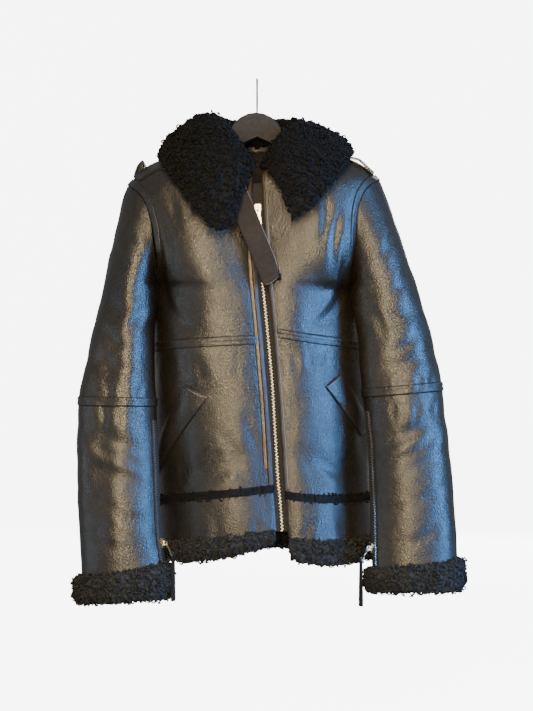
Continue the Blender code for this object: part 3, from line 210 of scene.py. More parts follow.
# The collar's section at stations round the neck, from the right front corner to the left one:
# the panel and the level at which it is sewn to the neckline, where it folds over, and its edge.
# Columns: panel, level, x_roll, y_roll, z_roll, x_edge, y_edge, z_edge
COLLAR = (
    ("front_right", 4.0, -5, -86, -160, -38, -121, -252),
    ("front_right", 3.5, -19, -83, -146, -66, -125, -262),
    ("front_right", 3.0, -31, -78, -132, -95, -121, -235),
    ("front_right", 2.0, -56, -52, -98, -130, -94, -188),
    ("front_right", 0.7, -76, -14, -78, -157, -43, -148),
    ("back_right", 0.6, -82, 22, -72, -163, 24, -131),
    ("back_right", 2.0, -66, 62, -76, -120, 96, -162),
    ("back_right", 3.0, -34, 84, -78, -62, 128, -184),
    ("back_right", 4.0, 0, 92, -75, 0, 138, -188),
    ("back_left", 3.0, 34, 84, -76, 62, 128, -184),
    ("back_left", 2.0, 64, 62, -79, 118, 96, -164),
    ("back_left", 0.6, 74, 22, -84, 159, 24, -127),
    ("front_left", 0.7, 66, -14, -90, 155, -42, -140),
    ("front_left", 2.0, 50, -52, -104, 129, -92, -178),
    ("front_left", 3.0, 30, -78, -134, 94, -121, -220),
    ("front_left", 4.0, 13, -86, -158, 62, -124, -246),
)
FUR_START = 0.05
COLLAR_SEAT = 1.1          # the collar starts this far above the neckline

# Middle of the zip's teeth, top to bottom
# Columns: z, x, y
ZIP_LINE = (
    (-165, 0, -66),
    (-218, 1, -73),
    (-280, 5, -79),
    (-347, 9, -84.5),
    (-393, 14, -87),
    (-456, 20, -89),
    (-512, 25.5, -90.5),
    (-607, 31, -92),
    (-689, 36, -93),
    (-729, 40, -93),
    (-772, 43, -93),
)
ZIP_SLIDER_Z = -226.0
ZIP_STOP_Z = -766.0

# The largest soft folds: where they run on a panel seen from the front, and how deep they are.
# Columns: x_from, z_from, x_to, z_to, width, depth
FOLDS_FRONT = (
    (-165, -215, -158, -330, 13, -5.0),
    (-150, -200, -140, -300, 12, -3.5),
    (-60, -500, -140, -440, 26, 4.0),
    (-20, -640, -150, -690, 24, -4.0),
    (130, -215, 138, -330, 13, -5.0),
    (110, -200, 118, -290, 12, -3.0),
    (90, -420, 150, -400, 16, -4.0),
    (70, -640, 170, -680, 22, -3.5),
)
FOLDS_BACK = (
    (-150, -230, -130, -330, 16, -5.0),
    (140, -230, 122, -330, 16, -5.0),
    (-110, -420, 60, -470, 26, -4.0),
    (-60, -640, 130, -600, 26, -4.0),
)
FOLDS_SLEEVE = (
    (-300, -590, -190, -640, 15, -5.0),
    (-296, -655, -190, -690, 16, -4.0),
    (-290, -480, -200, -505, 14, -4.0),
    (-262, -380, -190, -420, 16, -3.5),
    (300, -470, 205, -500, 14, -4.5),
    (320, -575, 215, -620, 15, -5.5),
    (322, -640, 220, -670, 15, -4.0),
    (276, -395, 190, -420, 16, -3.5),
)

# A pocket's four corners on a front: across from the zip edge along the cloth, then down.
POCKETS = {
    "right": ((143, -523), (104, -543), (247, -684), (247, -631)),
    "left": ((87, -526), (122, -505), (197, -590), (165, -612)),
}
POCKET_LIFT = 0.8
POCKET_THICK = 2.5
POCKET_PUFF = 4.0

# The right shoulder strap lies over the shoulder. Its columns are shares of the shoulder seam from
# the neck, each with how far the strap's back half stands up there: 0 lies flat, 1 is upright.
STRAP_RIGHT = (
    (0.5, 0.0), (0.6, 0.0), (0.69, 0.0), (0.735, 0.05), (0.765, 0.9), (0.79, 1.0), (0.83, 0.95),
    (0.865, 0.8), (0.893, 0.65),
)
STRAP_FRONT_LEVEL = 1.1    # where its edge lies on the front
STRAP_BACK_LEVEL = 0.85    # and on the back
STRAP_LEVEL_RUN = 21.0     # mm of cloth to one level there
STRAP_UPRIGHT = (0.0, 0.3, 0.95)
STRAP_FLARE = 0.035        # how much farther out the upright edge reaches
# The left one stands clear of the shoulder: shares, and how high its underside is there.
STRAP_LEFT = (
    (0.56, 3.2), (0.63, 5.5), (0.69, 7.2), (0.73, 6.2), (0.77, 4.4), (0.81, 3.0), (0.85, 2.2),
    (0.893, 1.7),
)
STRAP_LEFT_HALF = 17.0
SLIDER_HEIGHT = 17.0
ELBOW_EDGES = (ELBOW_RING - 0.155, ELBOW_RING + 0.115)
ARMHOLE_INSET = 0.006      # of a ring, at the armhole seam
SHOULDER_INSET = 0.012     # of a level, at the shoulder seam
SEAM_INSET = 0.003         # of a level, at the chest seam
RING_INSET = 0.004         # of a ring, at the elbow seam

# The zip up the inside of each cuff: where it lies round the sleeve
CUFF_TAPE_TURNS = (0.42, 0.48)
CUFF_CHAIN_TURN = 0.43
CUFF_CHAIN_THICK = 1.8
CUFF_TAPE_THICK = 1.0
CUFF_ZIP_RINGS = (8.5, 12.9)


# Strap at the throat, down its middle, and its half width
STRAP_LINE = (
    (-54, -76.4, -166),
    (-40, -94, -190),
    (-26, -99, -219),
    (-9, -103, -262),
    (9, -106, -305),
    (24, -108, -341),
)
STRAP_HALF = 18.0


# Creases finer than the folds: where they run seen from the front, how far they bow sideways,
# their width and depth.
# Columns: x_from, z_from, x_to, z_to, bow, width, depth
CREASES_FRONT = (
    (-172, -262, -150, -390, 6, 7, -2.2),
    (-160, -225, -146, -320, -4, 6, -1.6),
    (-140, -205, -128, -270, 4, 7, -1.3),
    (-168, -330, -120, -420, 10, 8, -1.8),
    (-150, -395, -90, -440, 6, 9, -1.2),
    (-95, -478, -88, -520, 3, 6, -1.1),
    (-125, -472, -120, -505, -3, 6, -1.3),
    (-60, -470, -66, -500, 2, 5, -0.9),
    (-30, -472, -34, -510, 2, 6, -0.9),
    (-150, -560, -165, -640, 6, 8, -1.5),
    (-110, -690, -40, -655, 8, 9, -1.4),
    (-150, -700, -120, -640, 6, 8, -1.2),
    (-20, -560, 10, -640, 5, 9, -1.3),
    (-60, -600, -20, -690, -6, 8, -1.2),
    (-70, -745, -60, -800, 3, 8, -1.0),
    (-120, -750, -128, -810, -3, 8, -1.1),
    (0, -740, 8, -790, 2, 7, -0.9),
    (150, -262, 138, -390, -6, 7, -2.2),
    (142, -228, 128, -320, 4, 6, -1.6),
    (118, -200, 110, -275, -4, 7, -1.3),
    (152, -330, 108, -425, -8, 8, -1.8),
    (60, -470, 64, -505, -3, 6, -1.1),
    (90, -468, 96, -500, 3, 6, -1.2),
    (124, -465, 120, -492, 2, 5, -0.9),
    (60, -560, 40, -640, -5, 9, -1.2),
    (170, -560, 176, -640, -4, 8, -1.4),
    (100, -640, 160, -680, 8, 9, -1.3),
    (90, -745, 84, -805, 3, 8, -1.0),
    (140, -745, 146, -810, -3, 8, -1.0),
)
CREASES_BACK = (
    (-168, -250, -140, -390, 8, 8, -2.2),
    (160, -250, 132, -390, -8, 8, -2.2),
    (-120, -215, -110, -300, 5, 8, -1.4),
    (112, -215, 104, -300, -5, 8, -1.4),
    (-60, -150, 50, -165, -8, 9, -1.2),
    (-120, -330, -20, -400, 12, 10, -1.5),
    (130, -340, 30, -395, -10, 10, -1.4),
    (-90, -475, -84, -520, 3, 7, -1.2),
    (-20, -478, -26, -530, 3, 7, -1.2),
    (60, -475, 66, -515, -3, 7, -1.2),
    (120, -470, 112, -510, 2, 6, -1.0),
    (-150, -600, -60, -640, 8, 10, -1.5),
    (40, -560, 140, -610, -10, 10, -1.4),
    (-80, -690, 20, -670, 6, 9, -1.2),
    (60, -690, 150, -700, 5, 9, -1.1),
    (-60, -750, -64, -810, 3, 8, -1.0),
    (40, -750, 46, -812, -3, 8, -1.0),
)
CREASES_SLEEVE = (
    (-236, -240, -272, -790, 0, 21, -5.5),
    (-250, -270, -215, -330, 8, 8, -1.6),
    (-232, -250, -190, -300, 6, 8, -1.6),
    (-180, -385, -215, -440, 6, 8, -1.8),
    (-270, -420, -200, -470, 8, 9, -1.6),
    (-280, -520, -276, -545, 3, 6, -1.3),
    (-255, -515, -250, -548, -3, 6, -1.4),
    (-225, -520, -222, -548, 2, 6, -1.3),
    (-195, -525, -197, -550, 2, 5, -1.2),
    (-285, -558, -280, -590, 2, 6, -1.3),
    (-258, -558, -262, -600, -3, 6, -1.4),
    (-230, -558, -228, -590, 2, 6, -1.2),
    (-290, -600, -230, -645, 8, 9, -2.0),
    (-250, -640, -180, -672, -6, 8, -1.7),
    (-300, -700, -240, -725, 6, 9, -1.6),
    (-240, -735, -180, -750, 5, 9, -1.4),
    (-280, -765, -230, -800, 5, 9, -1.3),
    (236, -240, 210, -310, -6, 8, -1.6),
    (262, -310, 226, -370, -8, 9, -1.7),
    (180, -385, 214, -440, -6, 8, -1.8),
    (286, -420, 222, -470, -8, 9, -1.6),
    (300, -500, 296, -528, 2, 6, -1.3),
    (272, -505, 270, -535, -3, 6, -1.4),
    (240, -505, 242, -540, 2, 6, -1.3),
    (205, -515, 208, -540, 2, 5, -1.2),
    (300, -548, 304, -580, 3, 6, -1.3),
    (268, -550, 264, -590, -3, 6, -1.4),
    (230, -552, 232, -588, 2, 6, -1.2),
    (310, -590, 250, -640, -9, 9, -2.0),
    (270, -640, 206, -668, 7, 8, -1.7),
    (322, -690, 262, -715, -6, 9, -1.6),
    (262, -730, 205, -742, 5, 9, -1.4),
    (310, -755, 250, -790, -5, 9, -1.3),
)

# Soft unevenness of hung leather: the lengths of its waves, mm, their height as a share of that
# and how many waves there are of each
RIPPLE_LENGTHS = (160, 130, 104, 84, 68, 55, 44, 35, 28)
RIPPLE_SHARE = 0.0046
RIPPLES_OF_EACH = 4
# How finely the cloth is cut: rows to each level of a panel, rings to each row of a sleeve's table
ROWS_PER_LEVEL = (9,) * 10 + (24, 38, 28, 18)
RINGS_PER_ROW = (7, 9, 11, 13, 13, 16, 14, 12, 17, 17, 17, 14, 11)
SLEEVE_COLUMNS_AROUND = 100
FRONT_COLUMNS = {"right": 52, "left": 44}
TAPE_COLUMNS = 52          # of a tape across a front
BACK_COLUMNS = 46
PAST_ZIP = 6               # this many of a front's columns lie beside the zip
SEAM_EDGE = (1.3, 2.8, 4.8)                   # columns beside a seam, mm from it
EDGE_STEPS = np.array([0.010, 0.022, 0.038])  # rows beside a seam, in levels from it
BODY_STEP = 110.0          # mm to a level at the chest seam
SLEEVE_STEP = 62.0         # mm to a ring at the elbow seam


def beside(points, line):
    """How far points lie across a line seen from the front, the share of it that they are down it,
    and how far they are past its ends."""
    start = np.array(line[:2])
    run = np.array(line[2:]) - start
    length = np.linalg.norm(run)
    offset = points[..., [0, 2]] - start
    down = (offset @ run) / length
    across = (offset[..., 0] * run[1] - offset[..., 1] * run[0]) / length
    return across, np.clip(down / length, 0, 1), np.maximum(np.abs(down - length / 2) - length / 2, 0)


def fold_depth(points, folds):
    """How far the folds of a table move each point, seen from the front."""
    depth = np.zeros(points.shape[:-1])
    for *line, width, height in folds:
        across, share, beyond = beside(points, line)
        fade = np.exp(-(beyond / width) ** 2) * (0.35 + 0.65 * np.sin(np.pi * share))
        depth += height * np.exp(-(across / width) ** 2) * fade
    return depth


def crease_depth(points, creases):
    """How far creases push each point in, with the soft ridge that stands on both sides of each."""
    depth = np.zeros(points.shape[:-1])
    for *line, bow, width, height in creases:
        across, share, beyond = beside(points, line)
        middle = np.sin(np.pi * share)
        fade = np.exp(-(beyond / width) ** 2) * (0.25 + 0.75 * middle)
        step = (across - bow * middle) / width
        near = 0.5 * np.exp(-((step - 1.8) / 0.9) ** 2)
        far = 0.35 * np.exp(-((step + 1.8) / 0.9) ** 2)
        depth += height * fade * (np.exp(-step**2) - (near + far))
    return depth


def make_waves():
    random = np.random.default_rng(SEED)
    rows = []
    for length in RIPPLE_LENGTHS:
        for _ in range(RIPPLES_OF_EACH):
            heading = unit(random.normal(size=3) * (1.2, 1.2, 0.45))
            phase = random.uniform(0, 2 * math.pi)
            rows.append([*(heading * 2 * math.pi / length), phase, length * RIPPLE_SHARE / 2])
    return np.array(rows)


def ripple(points):
    """Soft unevenness of the cloth at each point, the same on both sides of a seam."""
    height = np.zeros(points.shape[:-1])
    for x, y, z, phase, size in WAVES:
        height += size * np.sin(points @ np.array([x, y, z]) + phase)
    return height


def fill_side(points):
    """How far the sides of the body stand out, so that no light shows between them and the sleeves."""
    across, down = points[..., 0], -points[..., 2]
    left = 3.6 * smoothstep((across - 130) / 45) * smoothstep((down - 362) / 30)
    right = 2.6 * smoothstep((-across - 130) / 35) * smoothstep((down - 362) / 20)
    return left - right * smoothstep((470 - down) / 60)


def fill_armpit(points):
    """How far a sleeve's inner side reaches towards the body just below the armpit."""
    across, down = points[..., 0], -points[..., 2]
    below = smoothstep((down - 345) / 18) * smoothstep((440 - down) / 60)
    return 5.0 * below * smoothstep((200 - np.abs(across)) / 22) * -np.sign(across)


def edge_shape(away):
    """The rounding of an edge that is turned in at a seam, by distance from the seam in mm."""
    return -1.1 * np.exp(-((away / 1.6) ** 2)) + 0.35 * np.exp(-(((away - 4.5) / 2.2) ** 2))


def seam_dip(stations, levels, seams, step, zip_edge):
    """How far the cloth turns in beside its seams, for a grid of levels and stations. A level is
    step mm high near a seam, and only a front has an edge at the zip."""
    levels = np.asarray(levels, float)[:, None]
    dip = np.zeros((len(levels), max(len(stations), 1)))
    for seam in seams:
        dip += edge_shape(np.abs(levels - seam) * step)
    if len(stations):
        shares, more = np.asarray(stations, float).T
        dip += edge_shape((1 - shares) * TYPICAL_ROW - more)
        if zip_edge:
            dip += edge_shape(shares * TYPICAL_ROW + more)
    return dip


# ---- curves and surfaces -------------------------------------------------------------------

def smooth(table, at):
    """Reads a table between its rows, along a smooth curve through them."""
    table = np.asarray(table, float)
    at = np.clip(np.asarray(at, float), 0, len(table) - 1)
    slopes = np.gradient(table, axis=0)
    low = np.minimum(at.astype(int), len(table) - 2)
    t = (at - low)[..., None]
    a, b = table[low], table[low + 1]
    return (
        a * (2 * t**3 - 3 * t**2 + 1)
        + slopes[low] * (t**3 - 2 * t**2 + t)
        + b * (3 * t**2 - 2 * t**3)
        + slopes[low + 1] * (t**3 - t**2)
    )


def smoothstep(t):
    t = np.clip(t, 0, 1)
    return t * t * (3 - 2 * t)


def unit(vectors):
    length = np.linalg.norm(vectors, axis=-1, keepdims=True)
    return vectors / np.maximum(length, 1e-9)


def bezier(points, t):
    """Points along one cubic Bezier curve."""
    t = np.asarray(t, float)[:, None]
    a, b, c, d = points
    return (1 - t) ** 3 * a + 3 * (1 - t) ** 2 * t * b + 3 * (1 - t) * t**2 * c + t**3 * d


def read(at, run, values):
    """Rows of values read at places along their run."""
    return np.stack([np.interp(at, run, column) for column in values.T], axis=1)


def run_of(points):
    """The length of a polyline up to each of its points."""
    return np.concatenate([[0], np.cumsum(np.linalg.norm(np.diff(points, axis=0), axis=1))])


def along(points, shares):
    """Points at shares of the length of a polyline."""
    run = run_of(points)
    return read(np.asarray(shares, float) * run[-1], run, points), run[-1]


def flat_unit(vectors):
    """Directions turned level."""
    return unit(vectors * (1, 1, 0))


def zip_point(z):
    """Middle of the teeth at a height: x and y."""
    table = np.asarray(ZIP_LINE, float)
    steps = np.interp(-np.asarray(z, float), -table[:, 0], np.arange(len(table)))
    return smooth(table[:, 1:], steps)


def side_point(side_table, facing, level):
    """The outer end of a panel's row: on the armhole, or on the side seam below it."""
    table = np.asarray(side_table, float)
    table = table[:, :3] if facing < 0 else table[:, 3:]
    if level <= ARMHOLE_STEPS:
        return smooth(table[: ARMHOLE_STEPS + 1], level)
    return smooth(table[ARMHOLE_STEPS:], level - ARMHOLE_STEPS)


def panel_row(name, level):
    """One row across a panel, as 120 points from its inner to its outer end."""
    table, side_table, side, facing = PANELS[name]
    x, y, z, turn, reach, turn_out, reach_out, bow = smooth(table, level)
    outer = side_point(side_table, facing, level)
    turn, turn_out = math.radians(turn), math.radians(turn_out)
    start = np.array([x, y])
    end = outer[:2]
    leave = np.array([side * math.cos(turn), facing * math.sin(turn)])
    arrive = np.array([side * math.cos(turn_out), -facing * math.sin(turn_out)])
    t = np.linspace(0, 1, 120)
    plan = bezier((start, start + reach * leave, end - reach_out * arrive, end), t)
    shoulder = smoothstep(2.0 - level)
    rise = shoulder * 6.75 * t**2 * (1 - t) + (1 - shoulder) * 4 * t * (1 - t)
    height = z + (outer[2] - z) * t + bow * rise
    return np.column_stack([plan, height])


def lean(normals, target, share):
    """Turns normals towards a target by a share of the way."""
    share = share[..., None]
    return unit(normals * (1 - share) + unit(target) * share)


def surface_normals(surface, rows, columns):
    """Normals of a surface that is a function of row and column."""
    rows, columns = np.asarray(rows, float), np.asarray(columns, float)
    down = surface(rows + STEP_LEVEL, columns) - surface(np.maximum(rows - STEP_LEVEL, 0), columns)
    across = surface(rows, columns + STEP_SHARE) - surface(rows, columns - STEP_SHARE)
    return unit(np.cross(down, across))


# ---- torso ---------------------------------------------------------------------------------

CENTRE_BACK = [0, 0, 0, 0] + [row[0] for row in BACK_RIGHT[4:]]
BACK_LEFT = tuple((-x + 2 * centre, *rest) for (x, *rest), centre in zip(BACK_RIGHT, CENTRE_BACK))
# A panel's table, its side's table, the side of the body and the way that it faces
PANELS = {
    "front_right": (FRONT_RIGHT, SIDE_RIGHT, -1, -1),
    "front_left": (FRONT_LEFT, SIDE_LEFT, 1, -1),
    "back_right": (BACK_RIGHT, SIDE_RIGHT, -1, 1),
    "back_left": (BACK_LEFT, SIDE_LEFT, 1, 1),
}


def armhole_normals(side):
    """The direction in which both sides of an armhole seam are thickened, a mitre between the
    body's normal and the sleeve's: one row for each level, over the front and over the back."""
    levels = np.arange(ARMHOLE_STEPS + 1)
    turns = np.linspace(0, 1, 2 * ARMHOLE_STEPS + 1)
    on_sleeve = sleeve_normals(side, [0.0], turns)[0]
    on_sleeve *= 1 if side == "right" else -1
    sums = []
    for face, over_face in (("front", on_sleeve), ("back", on_sleeve[::-1])):
        body = panel_normals(f"{face}_{side}", levels, [(1, 0)])[:, 0]
        sums.append(body + over_face[: ARMHOLE_STEPS + 1])
    # Both faces share the shoulder point and the armpit.
    for end in (0, -1):
        sums[0][end] = sums[1][end] = (sums[0][end] + sums[1][end]) / 2
        sums[0][end][1] = sums[1][end][1] = 0
    return {"front": unit(sums[0]), "back": unit(sums[1])}


def shares_of(stations, length):
    """A station is a share of a row's length and a distance in mm to add to it."""
    stations = np.asarray(stations, float)
    return stations[:, 0] + stations[:, 1] / length


def panel_surface(name, levels, stations):
    """Points of a torso panel, a row for each level."""
    points = []
    for level in levels:
        row = panel_row(name, level)
        points.append(along(row, shares_of(stations, along(row, [0])[1]))[0])
    return np.array(points)


def panel_normals(name, levels, stations):
    """Outward normals of a torso panel, whatever grid it is cut into."""
    side, facing = PANELS[name][2:]
    normals = []
    for level in levels:
        low, high = max(level - STEP_LEVEL, 0), min(level + STEP_LEVEL, HEM_LEVEL)
        row = panel_row(name, level)
        shares = shares_of(stations, along(row, [0])[1])
        down = along(panel_row(name, high), shares)[0] - along(panel_row(name, low), shares)[0]
        across = along(row, shares + STEP_SHARE)[0] - along(row, shares - STEP_SHARE)[0]
        normals.append(np.cross(across, down) * side * facing)
    return unit(np.array(normals))


def panel(name, levels, stations, lift=0.0, depth=WALL):
    """Outer and inner points of a slab on a torso panel, lifted clear of it and depth thick."""
    levels = np.asarray(levels, float)
    points = panel_surface(name, levels, stations)
    normals = panel_normals(name, levels, stations)
    facing = PANELS[name][3]
    share = shares_of(stations, TYPICAL_ROW)[None, :]
    level = levels[:, None]
    table, creases = (FOLDS_FRONT, CREASES_FRONT) if facing < 0 else (FOLDS_BACK, CREASES_BACK)
    quiet = smoothstep((1 - share) / 0.1) + smoothstep((level - ARMHOLE_STEPS) / 0.5)
    quiet = np.minimum(quiet, 1) * smoothstep(level / 0.8)
    relief = crease_depth(points, creases) + ripple(points)
    relief = relief * quiet + seam_dip(stations, levels, (CHEST_LEVEL,), BODY_STEP, facing < 0)
    points = points + normals * (fold_depth(points, table) + relief)[..., None]
    points[..., 0] += fill_side(points)
    outer_end = smoothstep((share - 0.9) / 0.1)
    # Down the side seam the front and the back share an edge square to the side.
    normals = lean(normals, normals * np.array([1.0, 0.0, 1.0]), outer_end)
    # At the armhole the wall is mitred to meet the sleeve's.
    face, wearer_side = name.split("_")
    mitre = smooth(ARMHOLE_NORMALS[wearer_side][face], np.clip(levels, 0, ARMHOLE_STEPS))[:, None, :]
    normals = lean(normals, mitre, outer_end * smoothstep((ARMHOLE_STEPS + 0.25 - level) / 0.2))
    # At the shoulder seam they share an upright edge.
    at_seam = smoothstep(1 - level / 0.6) * (1 - outer_end)
    normals = lean(normals, normals * np.array([1.0, 0.0, 1.0]), at_seam)
    outer = points + normals * lift
    return outer, outer - normals * depth


CHEST_TAPE = (CHEST_LEVEL - 0.078, CHEST_LEVEL + 0.042)


def pocket_levels(name, across, down):
    """The level at which a front, so far from its zip edge, is at a height."""
    levels = np.linspace(CHEST_LEVEL, TRIM_LEVEL, 60)
    heights = [panel_surface(name, [level], [(0, across)])[0, 0, 2] for level in levels]
    return np.interp(-down, -np.array(heights), levels)


def cloth_patch(name, corners, columns, rows, lift, depth):
    """A slab on a front between four corners, each so far across the cloth and at a height."""
    corners = np.array([(across, pocket_levels(name, across, down)) for across, down in corners])
    outer, inner = [], []
    for v in rows:
        top = corners[0] + (corners[1] - corners[0]) * np.asarray(columns)[:, None]
        bottom = corners[3] + (corners[2] - corners[3]) * np.asarray(columns)[:, None]
        line = top + (bottom - top) * v
        points = [panel(name, [level], [(0, across)], lift=lift, depth=depth) for across, level in line]
        outer.append([pair[0][0, 0] for pair in points])
        inner.append([pair[1][0, 0] for pair in points])
    return np.array(outer), np.array(inner)


def round_armhole(front, back, turns):
    """Reads a table down the front of the armhole and up its back, at shares of the way round."""
    step = np.asarray(turns) * 2 * ARMHOLE_STEPS
    ahead = smooth(front, np.clip(step, 0, ARMHOLE_STEPS))
    behind = smooth(back, np.clip(2 * ARMHOLE_STEPS - step, 0, ARMHOLE_STEPS))
    return np.where((step <= ARMHOLE_STEPS)[:, None], ahead, behind)


def sleeve_rings(side, stations, turns):
    """Rings of a sleeve at fractional rows of its table. A turn is a share of the way round, from
    the outer line over the front to the inner line (0.5) and over the back."""
    table = SLEEVE_RIGHT if side == "right" else SLEEVE_LEFT
    side_table = np.asarray(SIDE_RIGHT if side == "right" else SIDE_LEFT, float)[: ARMHOLE_STEPS + 1]
    rows = smooth(table, stations)
    angle = 2 * math.pi * np.asarray(turns)

    def ellipse(row):
        outer = np.array([row[0], row[4], row[1]])
        inner = np.array([row[2], row[4], row[3]])
        ahead = np.array([0, -row[5], 0])
        middle, half = (outer + inner) / 2, (outer - inner) / 2
        return middle + np.outer(np.cos(angle), half) + np.outer(np.sin(angle), ahead)

    armhole = round_armhole(side_table[:, :3], side_table[:, 3:], turns)
    shift = armhole - ellipse(np.asarray(table[0], float))
    rings = []
    for station, row in zip(stations, rows):
        fade = 1 - smoothstep(station / ARMHOLE_BLEND_RINGS)
        rings.append(ellipse(row) + shift * fade)
    return np.array(rings)


def sleeve_normals(side, stations, turns):
    """Normals of the sleeve's rings. They point out on the right side and in on the left one."""
    return surface_normals(lambda rings, turns: sleeve_rings(side, rings, turns % 1.0), stations, turns)


def sleeve(side, stations, turns, lift=0.0, depth=WALL):
    """Outer and inner points of a slab on a sleeve."""
    sign = 1 if side == "right" else -1
    stations = np.asarray(stations, float)
    turns = np.asarray(turns, float)
    points = sleeve_rings(side, stations, turns)
    normals = sleeve_normals(side, stations, turns) * sign
    quiet = smoothstep(stations / 1.2)[:, None]
    relief = (crease_depth(points, CREASES_SLEEVE) + ripple(points)) * quiet
    relief = relief + seam_dip([], stations, (ELBOW_RING,), SLEEVE_STEP, False)
    points = points + normals * (fold_depth(points, FOLDS_SLEEVE) + relief)[..., None]
    points[..., 0] += fill_armpit(points) * quiet
    mitre = round_armhole(ARMHOLE_NORMALS[side]["front"], ARMHOLE_NORMALS[side]["back"], turns)[None]
    near = (1 - smoothstep(stations / 0.25))[:, None] * np.ones(len(turns))
    normals = lean(normals, mitre, near)
    outer = points + normals * lift
    inner = outer - normals * depth
    if turns[-1] - turns[0] == 1:
        outer[:, -1], inner[:, -1] = outer[:, 0], inner[:, 0]
    return outer, inner


CUFF_SECTION = (
    (0.0, -2.0), (-0.02, 7.0), (0.12, 15.5), (0.36, 17.0), (0.66, 16.5), (0.9, 12.0),
    (1.0, 4.0), (0.98, -4.0), (0.8, -9.0), (0.25, -8.0),
)


HEM_SECTION = (
    (0.0, -2.0), (0.0, 3.0), (0.12, 7.5), (0.4, 9.5), (0.75, 8.5), (1.0, 3.0), (1.0, -4.0),
    (0.8, -8.5), (0.3, -9.0),
)


def collar_profile(row, shares):
    """The collar's leather line at one station, from where it is sewn on, over the fold, to its
    free edge."""
    base, roll, edge = row[:3], row[3:6], row[6:]
    out = flat_unit(edge - base)
    up = np.array([0, 0, 1.0])
    stand, fall = np.linalg.norm(roll - base), np.linalg.norm(edge - roll)
    rise, turn_over = up * stand * 0.45, out * min(stand, fall) * 0.28
    first = bezier((base, base + rise, roll - turn_over, roll), np.linspace(0, 1, 30))
    drop = unit(edge - roll - out * np.dot(edge - roll, out) * 0.35)
    second = bezier((roll, roll + out * fall * 0.2, edge - drop * fall * 0.4, edge), np.linspace(0, 1, 40))
    line = np.concatenate([first, second[1:]])
    return along(line, np.clip(shares, 0, 1))[0]


def collar_rows():
    """The collar's table with the neckline's points in place of panel and level."""
    rows = []
    for name, level, *rest in COLLAR:
        neck = panel_surface(name, [level], [(0, 0)])[0, 0] + np.array([0, 0, COLLAR_SEAT])
        rows.append(list(neck) + rest)
    return rows


def collar_grid(stations, shares):
    """Points and normals of the collar's leather line, with the normals towards the fur."""
    rows = collar_rows()

    def lines(stations, shares):
        return np.array([collar_profile(row, shares) for row in smooth(rows, stations)])

    stations, shares = np.asarray(stations, float), np.asarray(shares, float)
    around = lines(stations + STEP_LEVEL, shares) - lines(stations - STEP_LEVEL, shares)
    over = lines(stations, shares + STEP_SHARE) - lines(stations, shares - STEP_SHARE)
    return lines(stations, shares), unit(np.cross(around, over))


def shoulder_ridge(side):
    """The shoulder seam, from the neck to the armhole."""
    name = "front_" + side
    return panel_surface(name, [0.0], [(share, 0) for share in np.linspace(0, 1, 25)])[0]


def epaulette_right():
    """The right shoulder strap: its front half follows the front, its back half turns up."""
    table = smooth(STRAP_RIGHT, np.linspace(0, len(STRAP_RIGHT) - 1, 70))
    shares = table[:, 0]
    stations = [(share, 0) for share in shares]
    lift = SEAM_GAP + STRAP_THICK
    front_levels = np.linspace(STRAP_FRONT_LEVEL, 0, 16)
    back_levels = np.linspace(0, STRAP_BACK_LEVEL, 13)
    front = panel("front_right", front_levels, stations, lift, STRAP_THICK)
    back = panel("back_right", back_levels, stations, lift, STRAP_THICK)
    upright = unit(np.array(STRAP_UPRIGHT))
    across = np.array([0, -upright[2], upright[1]])
    ridge = (front[0][-1] + back[0][0]) / 2
    turned = np.clip(table[:, 1], 0, 1)[None, :, None]
    width = back_levels[:, None, None] * STRAP_LEVEL_RUN
    flare = unit(ridge[-1] - ridge[-2]) * np.linalg.norm(ridge[-1] - ridge[0]) * STRAP_FLARE
    outwards = flare * (turned * width / width[-1]) * smoothstep((shares - 0.77) / 0.1)[None, :, None]
    standing = ridge[None] + upright * width + outwards
    grids = []
    for on_front, lying, stood in zip(front, back, (standing, standing - across * STRAP_THICK)):
        behind = lying * (1 - turned) + stood * turned
        middle = (on_front[-1:] + lying[:1]) / 2
        grids.append(np.concatenate([on_front[:-1], middle, behind[1:]]))
    return grids


def epaulette_left():
    """The left shoulder strap, flat from front to back and arched over the shoulder."""
    table = smooth(STRAP_LEFT, np.linspace(0, len(STRAP_LEFT) - 1, 44))
    line = along(shoulder_ridge("left"), table[:, 0])[0]
    line[:, 2] += table[:, 1]
    ahead = unit(np.gradient(line, axis=0))
    across = np.tile([0, -1.0, 0], (len(line), 1))
    out = unit(np.cross(across, ahead))
    out *= np.sign(out[:, 2:3])
    return strap_grid(line + out * STRAP_THICK, across, out, STRAP_LEFT_HALF, STRAP_THICK, 13)


def back_patches(levels, stations, **options):
    """Both halves of the back, their columns running the same way round the body."""
    right = panel("back_right", levels, stations, **options)
    left = panel("back_left", levels, stations, **options)
    joined = np.asarray(levels) >= NECK_LEVEL
    for one, other in zip(right, left):
        middle = (one[joined, 0] + other[joined, 0]) / 2
        one[joined, 0] = middle
        other[joined, 0] = middle
    return [right, tuple(points[:, ::-1] for points in left)]


def band_section(top, bottom, out, section):
    """Closed sections of a wool band between two lines: each section point is a share of the way
    down and a distance out."""
    share, distance = np.asarray(section).T[..., None]
    return top[:, None] + (bottom - top)[:, None] * share + out[:, None] * distance


# ---- meshes --------------------------------------------------------------------------------

def new_piece(name, points, faces, finishes, faces_of=None, sharp=50):
    """A mesh that rides on the jacket. Its points are in millimetres."""
    data = bpy.data.meshes.new(name)
    data.from_pydata((np.asarray(points) * MM).tolist(), [], np.asarray(faces).tolist())
    for finish in finishes:
        data.materials.append(MATERIALS[finish])
    if faces_of is not None:
        data.polygons.foreach_set("material_index", faces_of)
    data.shade_smooth()
    if sharp:
        data.set_sharp_from_angle(angle=math.radians(sharp))
    piece = bpy.data.objects.new(name, data)
    bpy.context.scene.collection.objects.link(piece)
    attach(piece, "jacket")
    return piece


